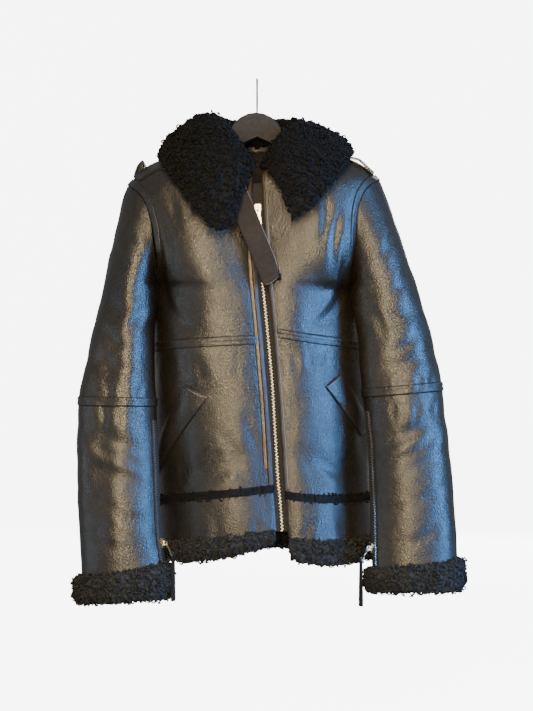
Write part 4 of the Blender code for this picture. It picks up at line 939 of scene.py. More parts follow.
def grid_quads(rows, columns, wrap_rows=False, wrap_columns=False):
    ids = np.arange(rows * columns).reshape(rows, columns)
    if wrap_rows:
        ids = np.concatenate([ids, ids[:1]])
    if wrap_columns:
        ids = np.concatenate([ids, ids[:, :1]], axis=1)
    return np.stack([ids[:-1, :-1], ids[:-1, 1:], ids[1:, 1:], ids[1:, :-1]], axis=-1).reshape(-1, 4)


def repeated(faces, count, points_each):
    """The faces of count copies of one small form."""
    faces = np.asarray(faces)
    return (faces + np.arange(count)[:, None, None] * points_each).reshape(-1, faces.shape[1])


def shell(name, patches, finishes):
    """A thin closed cloth from patches of outer and inner points, which meet where points coincide."""
    outer = np.concatenate([patch[0].reshape(-1, 3) for patch in patches])
    inner = np.concatenate([patch[1].reshape(-1, 3) for patch in patches])
    _, first, index = np.unique(np.round(outer, 2), axis=0, return_index=True, return_inverse=True)
    index = index.reshape(-1)
    quads, start = [], 0
    for patch in patches:
        rows, columns = patch[0].shape[:2]
        quads.append(index[start + grid_quads(rows, columns)])
        start += rows * columns
    quads = np.concatenate(quads)
    outer, inner, count = outer[first], inner[first], len(first)
    ends = np.concatenate([quads[:, [i, (i + 1) % 4]] for i in range(4)])
    back = np.isin(ends[:, 0] * count + ends[:, 1], ends[:, 1] * count + ends[:, 0])
    rim = ends[~back]
    rim = np.column_stack([rim[:, 1], rim[:, 0], rim[:, 0] + count, rim[:, 1] + count])
    faces = np.concatenate([quads, quads[:, ::-1] + count, rim])
    middle = quads[len(quads) // 2]
    a, b, c = outer[middle[:3]]
    if np.dot(np.cross(b - a, c - a), a - inner[middle[0]]) < 0:
        faces = faces[:, ::-1]
    faces_of = np.repeat([0, min(1, len(finishes) - 1), 0], [len(quads), len(quads), len(rim)])
    return new_piece(name, np.concatenate([outer, inner]), faces, finishes, faces_of)


def run_length(points, axis):
    return np.linalg.norm(np.diff(points, axis=axis), axis=-1).sum(axis=axis)


def cut_of(patches):
    """The flat width, length and area of a piece, measured along its own surface, in metres."""
    width = sum(run_length(outer, 1).max() for outer, _ in patches)
    length = max(run_length(outer, 0).max() for outer, _ in patches)
    area = 0
    for outer, _ in patches:
        diagonals = outer[1:, 1:] - outer[:-1, :-1], outer[1:, :-1] - outer[:-1, 1:]
        area += np.linalg.norm(np.cross(*diagonals), axis=-1).sum() / 2
    return width * MM, length * MM, min(area * MM * MM, width * length * MM * MM)


def cloth(node, patches, finishes, held="hung", rests_on=("hanger_body",)):
    """The piece that stands for a cloth node, declared with the size it is cut to."""
    piece = shell("cut_" + node, patches, finishes)
    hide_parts(node)
    declare(piece, *cut_of(patches), held, rests_on)


def declare(piece, width, length, area, held, rests_on, with_pieces=()):
    """States the size a piece is cut to, in metres."""
    print(f"CUT {piece.name} {width:.3f} {length:.3f} {area or width * length:.4f}")


def fine_levels(start, stop, per_level=ROWS_PER_LEVEL):
    """Levels a few millimetres apart, with more beside both ends."""
    run = np.concatenate([[0], np.cumsum(per_level)])
    first, last = np.interp([start, stop], np.arange(len(run)), run)
    count = int(math.ceil(last - first)) + 1
    levels = np.interp(np.linspace(first, last, count), run, np.arange(len(run)))
    inside = (levels > start + EDGE_STEPS[-1] + 0.01) & (levels < stop - EDGE_STEPS[-1] - 0.01)
    return np.concatenate([[start], start + EDGE_STEPS, levels[inside], stop - EDGE_STEPS[::-1], [stop]])


def fine_stations(count, zip_edge):
    inner = [(0, HALF_GAP)] + [(0, away) for away in SEAM_EDGE] if zip_edge else []
    middle = [(share, 0) for share in np.linspace(0.04 if zip_edge else 0, 0.96, count)]
    return inner + middle + [(1, -away) for away in SEAM_EDGE[::-1]] + [(1, -HALF_GAP)]


def seam_line(outer, inner, pitch):
    """Points a pitch apart along a line on cloth, with its direction and its normal at each."""
    run = run_of(outer)
    count = max(int(run[-1] / pitch), 2)
    shares = (np.arange(count) + 0.5) / count
    points = along(outer, shares)[0]
    normals = unit(read(shares, run / run[-1], unit(outer - inner)))
    return points, unit(np.gradient(points, axis=0)), normals


STITCH_LENGTH = 3.0
STITCH_PITCH = 4.2
STITCH_HALF = 0.42
STITCH_SINK = 0.12


def sew(outer, inner):
    """Adds a line of stitches along a line on cloth."""
    points, ahead, normals = seam_line(outer, inner, STITCH_PITCH)
    across = np.cross(ahead, normals)
    points = points - normals * STITCH_SINK
    corners = [points - ahead * STITCH_LENGTH / 2, points + ahead * STITCH_LENGTH / 2]
    for side, up in ((1, 0), (0, 1), (-1, 0), (0, -1)):
        corners.append(points + (across * side + normals * up) * STITCH_HALF)
    STITCHES.append(np.stack(corners, axis=1))


def sew_rows(patch, rows):
    for row in rows:
        sew(patch[0][row], patch[1][row])


def sew_columns(patch, columns):
    sew_rows([grid.swapaxes(0, 1) for grid in patch], columns)


def build_stitches():
    points = np.concatenate(STITCHES)
    one = [(0, 2 + i, 2 + (i + 1) % 4) for i in range(4)] + [(1, 2 + (i + 1) % 4, 2 + i) for i in range(4)]
    faces = repeated(one, *points.shape[:2])
    new_piece("stitching", points.reshape(-1, 3), faces, ["thread"], sharp=0)


CREASE_HALF = 0.75         # half the width of the near-black line of painted shade at the edge of a seam, mm
CREASE_THIN = 0.7          # a pale line of painted highlight: its share of that
CREASE_PITCH = 6.0
CREASE_RISE = 0.3
CREASE_TIP = 0.05          # half its width at both ends


def crease(outer, inner, kind="dark"):
    """Adds, along a line on cloth, a near-black line of painted shade in the groove beside a seam, or with
    kind pale a line of painted highlight along an edge, which partly stands for the leather's lighter raw
    edge.
    """
    points, ahead, normals = seam_line(outer, inner, CREASE_PITCH)
    across = np.cross(ahead, normals)
    half = np.full((len(points), 1), CREASE_HALF * (1 if kind == "dark" else CREASE_THIN))
    half[[0, -1]] = CREASE_TIP
    rise = normals * CREASE_RISE
    ring = [points + across * half, points + rise, points - across * half, points - rise]
    PAINTED_LIGHT_LINES[kind].append(np.stack(ring, axis=1))


# One mesh of the lines of painted shade and one of the lines of painted highlight
def build_painted_light_lines():
    for kind, lines in PAINTED_LIGHT_LINES.items():
        points, faces, start = [], [], 0
        for line in lines:
            faces.append(grid_quads(*line.shape[:2], False, True) + start)
            points.append(line.reshape(-1, 3))
            start += len(points[-1])
        new_piece("painted_light_lines_" + kind, np.concatenate(points), np.concatenate(faces), [kind], sharp=0)


# ---- leather -------------------------------------------------------------------------------

LINED = ("leather", "lining")
# Rows of stitches just above and just below the trim
TRIM_STITCHES = (TRIM_LEVEL - TRIM_UP - 0.045, TRIM_LEVEL + TRIM_DOWN + 0.05)
ROLL_LEVELS = (4.2, 12.6)
ROLL_FROM, ROLL_TO = 10.0, 15.4
ROLL_HIGH = 2.6


def body_spans():
    """Levels of the upper panels, the lower panels and the hem bands."""
    upper = (SHOULDER_INSET, CHEST_LEVEL - SEAM_INSET)
    lower = (CHEST_LEVEL + SEAM_INSET, TRIM_LEVEL - TRIM_UP)
    return upper, lower, (TRIM_LEVEL + TRIM_DOWN, HEM_LEVEL)


def build_fronts():
    for side in SIDES:
        name = "front_" + side
        stations = fine_stations(FRONT_COLUMNS[side], True)
        upper, lower, band = (fine_levels(*span) for span in body_spans())
        cloth(f"front_{side}_upper", [panel(name, upper, stations)], LINED)
        cloth(f"front_{side}_lower", [panel(name, lower, stations)], LINED)
        cloth(f"hem_band_front_{side}", [panel(name, band, stations)], LINED)
        sew_across(name, stations[PAST_ZIP:], TRIM_STITCHES)


def sew_across(name, stations, levels):
    for level in levels:
        sew_rows(panel(name, [level], stations), [0])


def build_back():
    stations = fine_stations(BACK_COLUMNS, False)
    upper, lower, band = (fine_levels(*span) for span in body_spans())
    cloth("back_upper", back_patches(upper, stations), LINED)
    cloth("back_lower", back_patches(lower, stations), LINED)
    cloth("hem_band_back", back_patches(band, stations), LINED)
    for name in ("back_right", "back_left"):
        sew_across(name, stations, TRIM_STITCHES)


def rounded(points, rim_rows=True, rim_columns=True, drop=0.7):
    """Turns the edges of an overlay down, so that it looks folded and not cut square."""
    outer, inner = points
    out = unit(outer - inner)
    down = np.zeros(outer.shape[:2])
    if rim_rows:
        down[[0, -1]] = 1
    if rim_columns:
        down[:, [0, -1]] = 1
    return outer - out * down[..., None] * drop, inner


def edged(low, high, first, second):
    """Levels across a strip of tape, closer together at both of its edges."""
    middle = np.linspace(low + second, high - second, 5)
    return np.concatenate([[low, low + first], middle, [high - first, high]])


def build_front_tape(side):
    """The tape over a front's chest seam."""
    name = "front_" + side
    low, high = CHEST_TAPE
    stations = [(0, WELT_RIGHT)] + fine_stations(TAPE_COLUMNS, True)[PAST_ZIP:]
    tape = rounded(panel(name, edged(low, high, 0.008, 0.02), stations, TAPE_LIFT, TAPE_THICK))
    under = [f"cut_front_{side}_upper", f"cut_front_{side}_lower"]
    cloth(f"chest_tape_{side}", [tape], ("leather",), "laid", under)
    for level in (low + 0.022, high - 0.022):
        sew_rows(panel(name, [level], stations, TAPE_LIFT, TAPE_THICK), [0])
    # Lines of painted shade just outside both edges of the tape
    for level in (low - 0.004, high + 0.004):
        outer, inner = panel(name, [level], stations, 0.1, TAPE_THICK)
        crease(outer[0], inner[0])


def build_placket(side, width, painted_edge_line):
    """The stitched edge of a front beside the zip."""
    name, levels = "front_" + side, fine_levels(3.0, PLACKET_FOOT)
    away = (HALF_GAP, 0.8, 2.0, width / 2, width - 2.0, width - 0.8, width)
    edge = rounded(panel(name, levels, [(0, place) for place in away], TAPE_LIFT, TAPE_THICK))
    cloth(f"placket_{side}", [edge], ("brown",))
    sew_columns(edge, [-3])
    # Along its outer edge a line of painted shade on the right front and of painted highlight on the left
    # front
    outer, inner = panel(name, levels, [(0, width + 0.5)], 0.1, TAPE_THICK)
    crease(outer[:, 0], inner[:, 0], painted_edge_line)


def build_back_tape():
    """The tape over the back's chest seam."""
    levels = edged(*CHEST_TAPE, 0.008, 0.02)
    halves = back_patches(levels, fine_stations(BACK_COLUMNS, False), lift=TAPE_LIFT, depth=TAPE_THICK)
    tape = [rounded(half, rim_columns=False) for half in halves]
    cloth("chest_tape_back", tape, ("leather",), "laid", ["cut_back_upper", "cut_back_lower"])
    for row in (3, -4):
        for half in halves:
            sew_rows(half, [row])


def build_bindings():
    """The binding round the armholes, with its stitches and the lines of painted shade beside it."""
    levels = fine_levels(SHOULDER_INSET, BINDING_END)
    away = (BINDING_WIDTH + 1, BINDING_WIDTH, BINDING_WIDTH - 2, 9.5, 6, 4, 2.8, 2)
    for side in SIDES:
        for face in ("front", "back"):
            name = f"{face}_{side}"
            strip = [(1, -place) for place in away]
            points = rounded(panel(name, levels, strip, TAPE_LIFT, TAPE_THICK))
            on = f"cut_front_{side}_upper" if face == "front" else "cut_back_upper"
            cloth(f"armhole_binding_{name}", [points], ("leather",), "laid", [on])
            sew_columns(points, (2, 5))
            for place in (BINDING_WIDTH + 1.4, 1.2):
                outer, inner = panel(name, levels, [(1, -place)], 0.2, TAPE_THICK)
                crease(outer[:, 0], inner[:, 0])


def build_overlays():
    """Tape over the chest seam, folded edges beside the zip and binding round the armholes."""
    for side, width, painted_edge_line in (("right", WELT_RIGHT, "dark"), ("left", WELT_LEFT, "pale")):
        build_front_tape(side)
        build_placket(side, width, painted_edge_line)
    build_placket_roll()
    build_back_tape()
    build_bindings()


def build_placket_roll():
    """The rolled leather edge that runs down beside the stitched edge of the right front."""
    levels = fine_levels(*ROLL_LEVELS)
    across = np.linspace(ROLL_FROM, ROLL_TO, 9)
    outer, inner = panel("front_right", levels, [(0, away) for away in across], 0.0, 0.8)
    tilted = np.array([0.1, 0.8, 1.0, 0.92, 0.78, 0.62, 0.46, 0.3, 0.0])
    uneven = 1 + 0.25 * np.sin(levels * 31) * np.sin(levels * 17)
    outer = outer + unit(outer - inner) * (ROLL_HIGH * np.outer(uneven, tilted))[..., None]
    shell("placket_roll", [(outer, inner)], ("edge",))
    # Lines of painted shade down both sides of the roll
    for column, away in ((0, -0.4), (-1, 0.4)):
        side = panel("front_right", levels, [(0, across[column] + away)], 0.1, 0.8)
        crease(side[0][:, 0], side[1][:, 0])


def build_sleeves():
    turns = np.linspace(0, 1, SLEEVE_COLUMNS_AROUND + 1)
    upper = (ARMHOLE_INSET, ELBOW_RING - RING_INSET)
    lower = (ELBOW_RING + RING_INSET, CUFF_RING)
    low, high = ELBOW_EDGES
    for side in SIDES:
        name = f"cut_sleeve_{side}_"
        for part, span in (("upper", upper), ("lower", lower)):
            rings = fine_levels(*span, RINGS_PER_ROW)
            cloth(f"sleeve_{side}_{part}", [sleeve(side, rings, turns)], LINED)
        rings = edged(low, high, 0.012, 0.035)
        band = rounded(sleeve(side, rings, turns, TAPE_LIFT, TAPE_THICK), rim_columns=False)
        cloth(f"elbow_band_{side}", [band], ("leather",), "laid", [name + "upper", name + "lower"])
        sew_rows(band, (3, -4))
        # Lines of painted shade just outside both edges of the band
        for ring in (low - 0.008, high + 0.008):
            outer, inner = sleeve(side, [ring], np.linspace(0, 1, 120), 0.1, 0.8)
            crease(outer[0], inner[0])
        for ring in (0.18, 0.30):
            sew_rows(sleeve(side, [ring], np.linspace(0.02, 0.98, 120)), [0])


def build_pockets():
    for side, corners in POCKETS.items():
        name = "front_" + side
        columns = np.concatenate([[0, 0.02, 0.05], np.linspace(0.1, 0.9, 9), [0.95, 0.98, 1]])
        rows = np.concatenate([[0, 0.01, 0.025], np.linspace(0.05, 0.95, 31), [0.975, 0.99, 1]])
        outer, inner = cloth_patch(name, corners, columns, rows, POCKET_LIFT + POCKET_THICK, POCKET_THICK)
        puff = np.outer(np.sin(np.pi * rows) ** 0.5, np.sin(np.pi * columns)) * POCKET_PUFF
        outer = outer + unit(outer - inner) * puff[..., None]
        points = rounded((outer, inner), drop=1.2)
        cloth(f"pocket_welt_{side}", [points], ("leather",), "laid", [f"cut_front_{side}_lower"])
        sew_columns((outer[2:-2], inner[2:-2]), (3, -4))
        sew_rows((outer[:, 3:-3], inner[:, 3:-3]), (4, -5))
        # Painted shade round the welt's four edges
        for edge in (np.s_[0], np.s_[-1], np.s_[:, 0], np.s_[:, -1]):
            top, under = points[0][edge], points[1][edge]
            crease(under + (top - under) * 0.25, under)
        # Pale lines of painted highlight just inside two opposite edges of the welt
        for row in (2, -3):
            crease(points[0][row, 3:-3], points[1][row, 3:-3], "pale")


# ---- straps --------------------------------------------------------------------------------

def strap_grid(line, across, out, half_width, depth, columns):
    """A flat strap along a line, its long edges rounded."""
    spread = np.sin(np.linspace(-math.pi / 2, math.pi / 2, columns))
    fall = (1 - np.sqrt(np.clip(1 - np.abs(spread) ** 6, 0, 1))) * depth * 0.45
    face = line[:, None] + across[:, None] * (spread * half_width)[:, None]
    return face - out[:, None] * fall[:, None], face - out[:, None] * depth


THROAT_ROWS = 70
THROAT_COLUMNS = 15
THROAT_WOOL_ROW = 22       # the wool behind it starts at this row


def build_strap():
    line = smooth(STRAP_LINE, np.linspace(0, len(STRAP_LINE) - 1, THROAT_ROWS))
    ahead = unit(np.gradient(line, axis=0))
    across = unit(np.cross(ahead, np.array([0, 1.0, 0])))
    out = unit(np.cross(across, ahead))
    out *= np.sign(-out[:, 1:2])
    outer, inner = strap_grid(line, across, out, STRAP_HALF, STRAP_THICK, THROAT_COLUMNS)
    # The end is cut slanting, to a blunt point.
    place = np.linspace(-1, 1, THROAT_COLUMNS)
    reach = np.interp(place, (-1, 0, 1), (10, 9, 2))
    fade = smoothstep((np.linspace(0, 1, THROAT_ROWS) - 0.86) / 0.14)
    move = ahead[-1][None, None] * (fade[:, None] * reach[None, :])[..., None]
    move = move - across[-1][None, None] * (fade[:, None] * 5 * np.clip(place, 0, 1)[None, :])[..., None]
    points = rounded((outer + move, inner + move), rim_columns=False, drop=0.6)
    cloth("throat_strap", [points], ("strap",), "hung", ["cut_front_right_upper"])
    sew_columns((points[0][2:-2], points[1][2:-2]), (2, -3))
    sew_rows((points[0][:, 2:-2], points[1][:, 2:-2]), [-3])
    # Pale lines of painted highlight along the strap's long edge and its end, partly its lighter raw edge
    crease(points[0][6:, -1], points[1][6:, -1], "pale")
    crease(points[0][-1], points[1][-1], "pale")
    line, ahead, across, out = (each[THROAT_WOOL_ROW:] for each in (line, ahead, across, out))
    backing = line + ahead * 9 - out * (STRAP_THICK + 2 * SEAM_GAP)
    outer, inner = strap_grid(backing, across, out, STRAP_HALF - 3, 4.0, 11)
    wool_slab("throat_strap_fur", outer, inner, 1.0, 0.75, 4.5)


def build_epaulettes():
    right = rounded(epaulette_right(), drop=0.7)
    cloth("epaulette_right", [right], ("leather",), "laid", ["cut_front_right_upper"])
    left = rounded(epaulette_left(), rim_columns=False, drop=0.6)
    cloth("epaulette_left", [left], ("leather",), "laid", ["cut_front_left_upper"])
    sew_rows([grid[:, 1:-1] for grid in right], (2, -3))
    sew_columns([grid[1:-1] for grid in left], (2, -3))


# ---- wool ----------------------------------------------------------------------------------

CURL_SIDES = 3
CURL_RINGS = 8
CURL_RADIUS = (1.5, 2.8)   # least and largest, mm
CURL_PITCH = (1.2, 3.4)    # how far a curl climbs, mm
CURL_THICK = (1.05, 1.6)   # half thickness of its lock, mm
CURL_TURNS = (1.2, 1.9)
BIG_CURLS = 0.06           # the share of curls that are larger
BIG_CURL = 1.35            # and how much
CURL_AREA = 31.0           # mm2 of wool to each curl
BAND_AREA = 29.0           # the same on the cuffs and the hem
CURL_LUMP = 2.0            # how far curls stand up and down with the nubs, mm
TUFTS = 0.07               # the share of curls that stand out as tufts


def band_normals(grid, closed):
    """Normals of a grid of closed sections, which may also run in a ring."""
    def slope(axis):
        return np.roll(grid, -1, axis=axis) - np.roll(grid, 1, axis=axis)

    return unit(np.cross(slope(0) if closed else np.gradient(grid, axis=0), slope(1)))


NUB_SIZE = 11.0


def lumps(points):
    """Rounded nubs of wool with creases between them, as a height from -1 to 1 for each point."""
    heights = []
    for place in points.reshape(-1, 3) / NUB_SIZE:
        nearest = noise.voronoi(Vector(place))[0][0]
        heights.append(1 - 2.4 * nearest + 0.5 * noise.noise(Vector(place) * 2.3))
    return np.clip(heights, -1, 1).reshape(points.shape[:-1])


def curl_mesh(points, normals, seed, scale):
    """A small coiled lock at each point: the vertices and faces of all of them."""
    random = np.random.default_rng(seed)
    count = len(points)
    big = np.where(random.random(count) < BIG_CURLS, BIG_CURL, 1.0) * scale
    helper = unit(random.normal(size=(count, 3)))
    axis = unit(helper + normals * random.uniform(-0.5, 0.9, (count, 1)))
    first = unit(np.cross(axis, normals + 0.01))
    second = np.cross(axis, first)
    radius = random.uniform(*CURL_RADIUS, count) * big
    turns = random.uniform(*CURL_TURNS, count)
    pitch = random.uniform(*CURL_PITCH, count) * big
    start = random.uniform(0, 2 * math.pi, count)
    tuft = random.random(count) < TUFTS
    raise_by = (random.uniform(-1.0, 1.0, count) + tuft * random.uniform(1.5, 4.0, count)) * scale
    raise_by += lumps(points) * CURL_LUMP * scale
    s = np.linspace(0, 1, CURL_RINGS)
    angle = start[:, None] + 2 * math.pi * turns[:, None] * s
    radial = np.cos(angle)[..., None] * first[:, None] + np.sin(angle)[..., None] * second[:, None]
    coil = radial * (radius[:, None] * (0.75 + 0.5 * s))[..., None]
    climb = axis[:, None] * (pitch[:, None] * (s - 0.5))[..., None]
    line = (points + normals * raise_by[:, None])[:, None] + coil + climb
    taper = 0.3 + 0.7 * np.sin(math.pi * (0.08 + 0.84 * s)) ** 0.7
    thick = (random.uniform(*CURL_THICK, count) * big)[:, None] * taper
    rings = []
    for side in range(CURL_SIDES):
        turn = 2 * math.pi * side / CURL_SIDES
        rings.append(line + (radial * math.cos(turn) + axis[:, None] * math.sin(turn)) * thick[..., None])
    one = grid_quads(CURL_RINGS, CURL_SIDES, False, True)
    return np.stack(rings, axis=2).reshape(-1, 3), repeated(one, count, CURL_RINGS * CURL_SIDES)


def curl_places(grid, normals, wrap_rows, wrap_columns, seed, area=CURL_AREA):
    """Places for curls over a grid of points, as many to each patch of it as its area takes."""
    random = np.random.default_rng(seed)
    quads = grid_quads(*grid.shape[:2], wrap_rows, wrap_columns)
    flat, out = grid.reshape(-1, 3), normals.reshape(-1, 3)
    a, b, c, d = (flat[quads[:, i]] for i in range(4))
    areas = np.linalg.norm(np.cross(c - a, d - b), axis=1) / 2
    wanted = np.floor(areas / area + random.random(len(areas))).astype(int)
    pick = np.repeat(np.arange(len(quads)), wanted)
    u, v = random.random((2, len(pick), 1))
    places = (a[pick] * (1 - u) + b[pick] * u) * (1 - v) + (d[pick] * (1 - u) + c[pick] * u) * v
    return places, unit(out[quads[pick, 0]] + out[quads[pick, 2]])


def seed_of(name):
    return sum(ord(letter) * (i + 1) for i, letter in enumerate(name)) + SEED


def curl_piece(node, places, normals, scale, finish="wool"):
    vertices, faces = curl_mesh(places, normals, seed_of(node), scale)
    return new_piece("curls_" + node, vertices, faces, [finish], sharp=0)


def wool_slab(node, outer, inner, lump, scale, sink=1.2):
    """Wool on one side of leather, between a grid of outer points and one of inner points. Its
    curls sit sink mm deep in it, and its nubs are lump mm high."""
    normals = unit(outer - inner)
    places, out = curl_places(outer, normals, False, False, seed_of(node))
    places = places - out * sink
    rims, rim_out = rim_places(outer, inner, seed_of(node))
    curls = curl_piece(node, np.concatenate([places, rims]), np.concatenate([out, rim_out]), scale)
    outer = outer - normals * (lump / 2 + 0.8 - lumps(outer) * lump / 2)[..., None]
    piece = shell("wool_" + node, [(outer, inner)], ("wool",))
    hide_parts(node)
    declare(piece, *cut_of([(outer, inner)]), "folded", ["hanger_body"], [curls])


def rim_places(outer, inner, seed):
    """Places for curls round the edges of a slab, pointing away from it."""
    random = np.random.default_rng(seed + 7)
    places, normals = [], []
    for top, under in ((outer, inner), (outer.swapaxes(0, 1), inner.swapaxes(0, 1))):
        for end, beside_end in ((0, 1), (-1, -2)):
            middle = (top[end] + under[end]) / 2
            away = unit(middle - (top[beside_end] + under[beside_end]) / 2)
            depth = top[end] - under[end]
            deep = max(np.linalg.norm(depth, axis=1).mean(), 4)
            count = max(int(run_of(middle)[-1] * deep / (CURL_AREA * 0.9)), 2)
            shares = random.random(count)
            run = np.linspace(0, 1, len(middle))
            out = unit(read(shares, run, away))
            shift = read(shares, run, depth) * random.uniform(-0.4, 0.5, (count, 1))
            places.append(read(shares, run, middle) + shift + out * 0.5)
            normals.append(out)
    return np.concatenate(places), np.concatenate(normals)


def closed_section(section, count):
    """Points evenly along a smooth closed curve through the section's points."""
    table = np.array(section, float)
    loop = np.concatenate([table[-2:], table, table[:3]])
    fine = smooth(loop, np.linspace(2, 2 + len(table), 400))
    run = run_of(fine * (60, 1))
    return read(np.linspace(0, run[-1], count, endpoint=False), run, fine)


BAND_LUMP = 3.4
BAND_SINK = 2.4            # how deep curls sit in a band
# Sections past a band's end: each one's share of the end's size, and how far out it lies, mm
BAND_END = ((0.02, 2.2), (0.5, 2.0), (0.85, 1.2))


def rounded_end(last, before):
    """Smaller and smaller sections that close the end of a band."""
    centre = last.mean(axis=0)
    away = unit(centre - before.mean(axis=0))
    return [centre + (last - centre) * share + away * push for share, push in BAND_END]


def wool_band(node, grid, closed, on, keep_of=None):
    """A rolled band of wool from a grid of sections, each closed round. A closed band runs in a
    ring, any other ends at its first and last sections."""
    normals = band_normals(grid, closed)
    if np.einsum("ijk,ijk->", normals, grid - grid.mean(axis=1, keepdims=True)) < 0:
        normals = -normals
    places, out = curl_places(grid, normals, closed, True, seed_of(node), BAND_AREA)
    places = places - out * BAND_SINK
    if keep_of is not None:
        keep = keep_of(places, out)
        places, out = places[keep], out[keep]
    curls = curl_piece(node, places, out, 1.15, "worn_wool")
    base = grid - normals * (BAND_LUMP / 2 + 1.2 - lumps(grid) * BAND_LUMP / 2)[..., None]
    if not closed:
        base = np.concatenate([rounded_end(*base[:2]), base, rounded_end(*base[:-3:-1])[::-1]])
    faces = grid_quads(*base.shape[:2], closed, True)
    quad = base.reshape(-1, 3)[faces[len(faces) // 2]]
    centre = base[len(base) // 2].mean(axis=0)
    if np.dot(np.cross(quad[1] - quad[0], quad[2] - quad[0]), quad[0] - centre) < 0:
        faces = faces[:, ::-1]
    piece = new_piece("wool_" + node, base.reshape(-1, 3), faces, ["worn_wool"])
    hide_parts(node)
    width = run_length(np.concatenate([grid, grid[:, :1]], axis=1), 1).mean() / 2
    length = run_length(np.concatenate([grid, grid[:1]]) if closed else grid, 0).mean()
    declare(piece, width * MM, length * MM, None, "folded", [on], [curls])


def build_cuffs():
    section = closed_section(CUFF_SECTION, 40)
    for side in SIDES:
        turns = np.linspace(0, 1, 91)[:-1]
        points, inner = sleeve(side, [CUFF_RING], turns, depth=1.0)
        out = flat_unit(points[0] - inner[0])
        top = points[0] - out * WALL / 2 + np.array([0, 0, 1.5])
        outer_bottom, inner_bottom = CUFF_BOTTOM[side]
        bottom = top.copy()
        share = (1 - np.cos(2 * math.pi * turns)) / 2
        bottom[:, 2] = outer_bottom + (inner_bottom - outer_bottom) * share
        bottom += out * 2.0
        grid = band_section(top, bottom, out, section)
        middle = points[0].mean(axis=0)

        def shown(places, normals, middle=middle):
            facing = np.einsum("ij,ij->i", flat_unit(places - middle), normals)
            return (facing > -0.2) | (np.arange(len(places)) % 4 == 0)

        wool_band(f"cuff_fur_{side}", grid, True, f"cut_sleeve_{side}_lower", shown)


HEM_RAISE = 3.0            # the hem's wool starts this far above the leather's edge, mm
# How far it hangs below that edge, mm, at shares of a panel's width
HEM_WOOL = {
    "front_right": ((0, 21), (0.08, 29), (0.3, 36), (0.6, 40), (0.75, 30), (1, 30)),
    "front_left": ((0, 34), (0.08, 40), (0.3, 43), (0.6, 42), (0.8, 40), (1, 40)),
    "back_right": ((0, 27), (0.35, 33), (0.8, 42), (1, 32)),
    "back_left": ((0, 27), (0.35, 33), (0.8, 42), (1, 40)),
}


def hem_grid(name, shares):
    """Closed sections of the hem's wool along one panel."""
    stations = [(share, 0) for share in shares[:-1]] + [(1, -HALF_GAP)]
    outer, inner = panel(name, [HEM_LEVEL], stations)
    top = (outer + inner)[0] / 2 + (0, 0, HEM_RAISE)
    bottom = top.copy()
    bottom[:, 2] -= np.interp(shares, *zip(*HEM_WOOL[name])) + HEM_RAISE
    return band_section(top, bottom, flat_unit(outer[0] - inner[0]), closed_section(HEM_SECTION, 26))


def build_hem_wool():
    for side in SIDES:
        grid = hem_grid("front_" + side, np.linspace(0.02, 1, 52))
        wool_band(f"hem_fur_front_{side}", grid, False, f"cut_hem_band_front_{side}")
    right, left = (hem_grid("back_" + side, np.linspace(0, 1, 48)) for side in SIDES)
    wool_band("hem_fur_back", np.concatenate([right[::-1], left[1:]]), False, "cut_hem_band_back")


def build_trim_wool():
    """The strip of wool that shows where the hem band joins the body."""
    levels = np.linspace(TRIM_LEVEL - TRIM_UP - 0.012, TRIM_LEVEL + TRIM_DOWN + 0.012, 5)
    for side in SIDES:
        outer, inner = panel("front_" + side, levels, fine_stations(50, True), lift=1.2, depth=WALL)
        wool_slab(f"hem_trim_fur_{side}", outer, inner, 1.4, 0.62)
    halves = back_patches(levels, fine_stations(44, False), lift=1.2, depth=WALL)
    outer = np.concatenate([halves[1][0], halves[0][0][:, 1:]], axis=1)
    inner = np.concatenate([halves[1][1], halves[0][1][:, 1:]], axis=1)
    wool_slab("hem_trim_fur_back", outer, inner, 1.4, 0.62)


def build_collar():
    last = len(COLLAR) - 1
    stations = np.linspace(0, last, 130)
    shares = np.linspace(0, 1, 44)
    points, normals = collar_grid(stations, shares)
    cloth("collar_leather", [(points + normals * COLLAR_LEATHER, points)], ("leather",), "folded")
    shares = np.linspace(FUR_START, 1, 40)
    points, normals = collar_grid(stations, shares)
    # The wool is thinner towards the collar's long edges and its two ends.
    from_edge = np.minimum(shares - FUR_START, 1 - shares) / (1 - FUR_START)
    edge = np.minimum(1, 0.4 + from_edge * 2.2 * 8 / 6)
    from_end = np.minimum(stations, last - stations) / last
    end = np.minimum(1, 0.4 + 0.6 * from_end * 16)
    depth = COLLAR_FUR * np.outer(end, edge)
    inner = points + normals * (COLLAR_LEATHER + SEAM_GAP)
    wool_slab("collar_fur", inner + normals * depth[..., None], inner, 4.5, 1.15)


# ---- zips ----------------------------------------------------------------------------------

MAIN_TEETH = 2.9           # reach of the main zip's teeth to each side, mm
TOOTH_PITCH = 2.9
TOOTH_SHAPE = ((-1.0, -0.55), (1.0, -0.55), (1.0, 0.55), (-1.0, 0.55))


def teeth(name, line, across, out, reach, depth):
    """Two rows of zip teeth, one to each side in turn along a line."""
    count = int(run_of(line)[-1] / TOOTH_PITCH)
    shares = (np.arange(count) + 0.5) / count
    run = np.linspace(0, 1, len(line))
    side = np.where(np.arange(count) % 2 == 0, 1.0, -1.0)[:, None]
    across, out = unit(read(shares, run, across)), unit(read(shares, run, out))
    ahead = np.cross(across, out)
    middle = along(line, shares)[0] + across * side * reach * 0.28
    corners = []
    for top in (0.0, 1.0):
        for x, z in TOOTH_SHAPE:
            taper = 1 - 0.25 * top
            sideways = across * x * reach * 0.62 * taper
            corners.append(middle + sideways + ahead * z * 1.3 * taper + out * depth * top)
    points = np.stack(corners, axis=1)
    one = [(3, 2, 1, 0), (4, 5, 6, 7), (0, 1, 5, 4), (1, 2, 6, 5), (2, 3, 7, 6), (3, 0, 4, 7)]
    return new_piece(name, points.reshape(-1, 3), repeated(one, count, 8), ["zip_metal"], sharp=30)


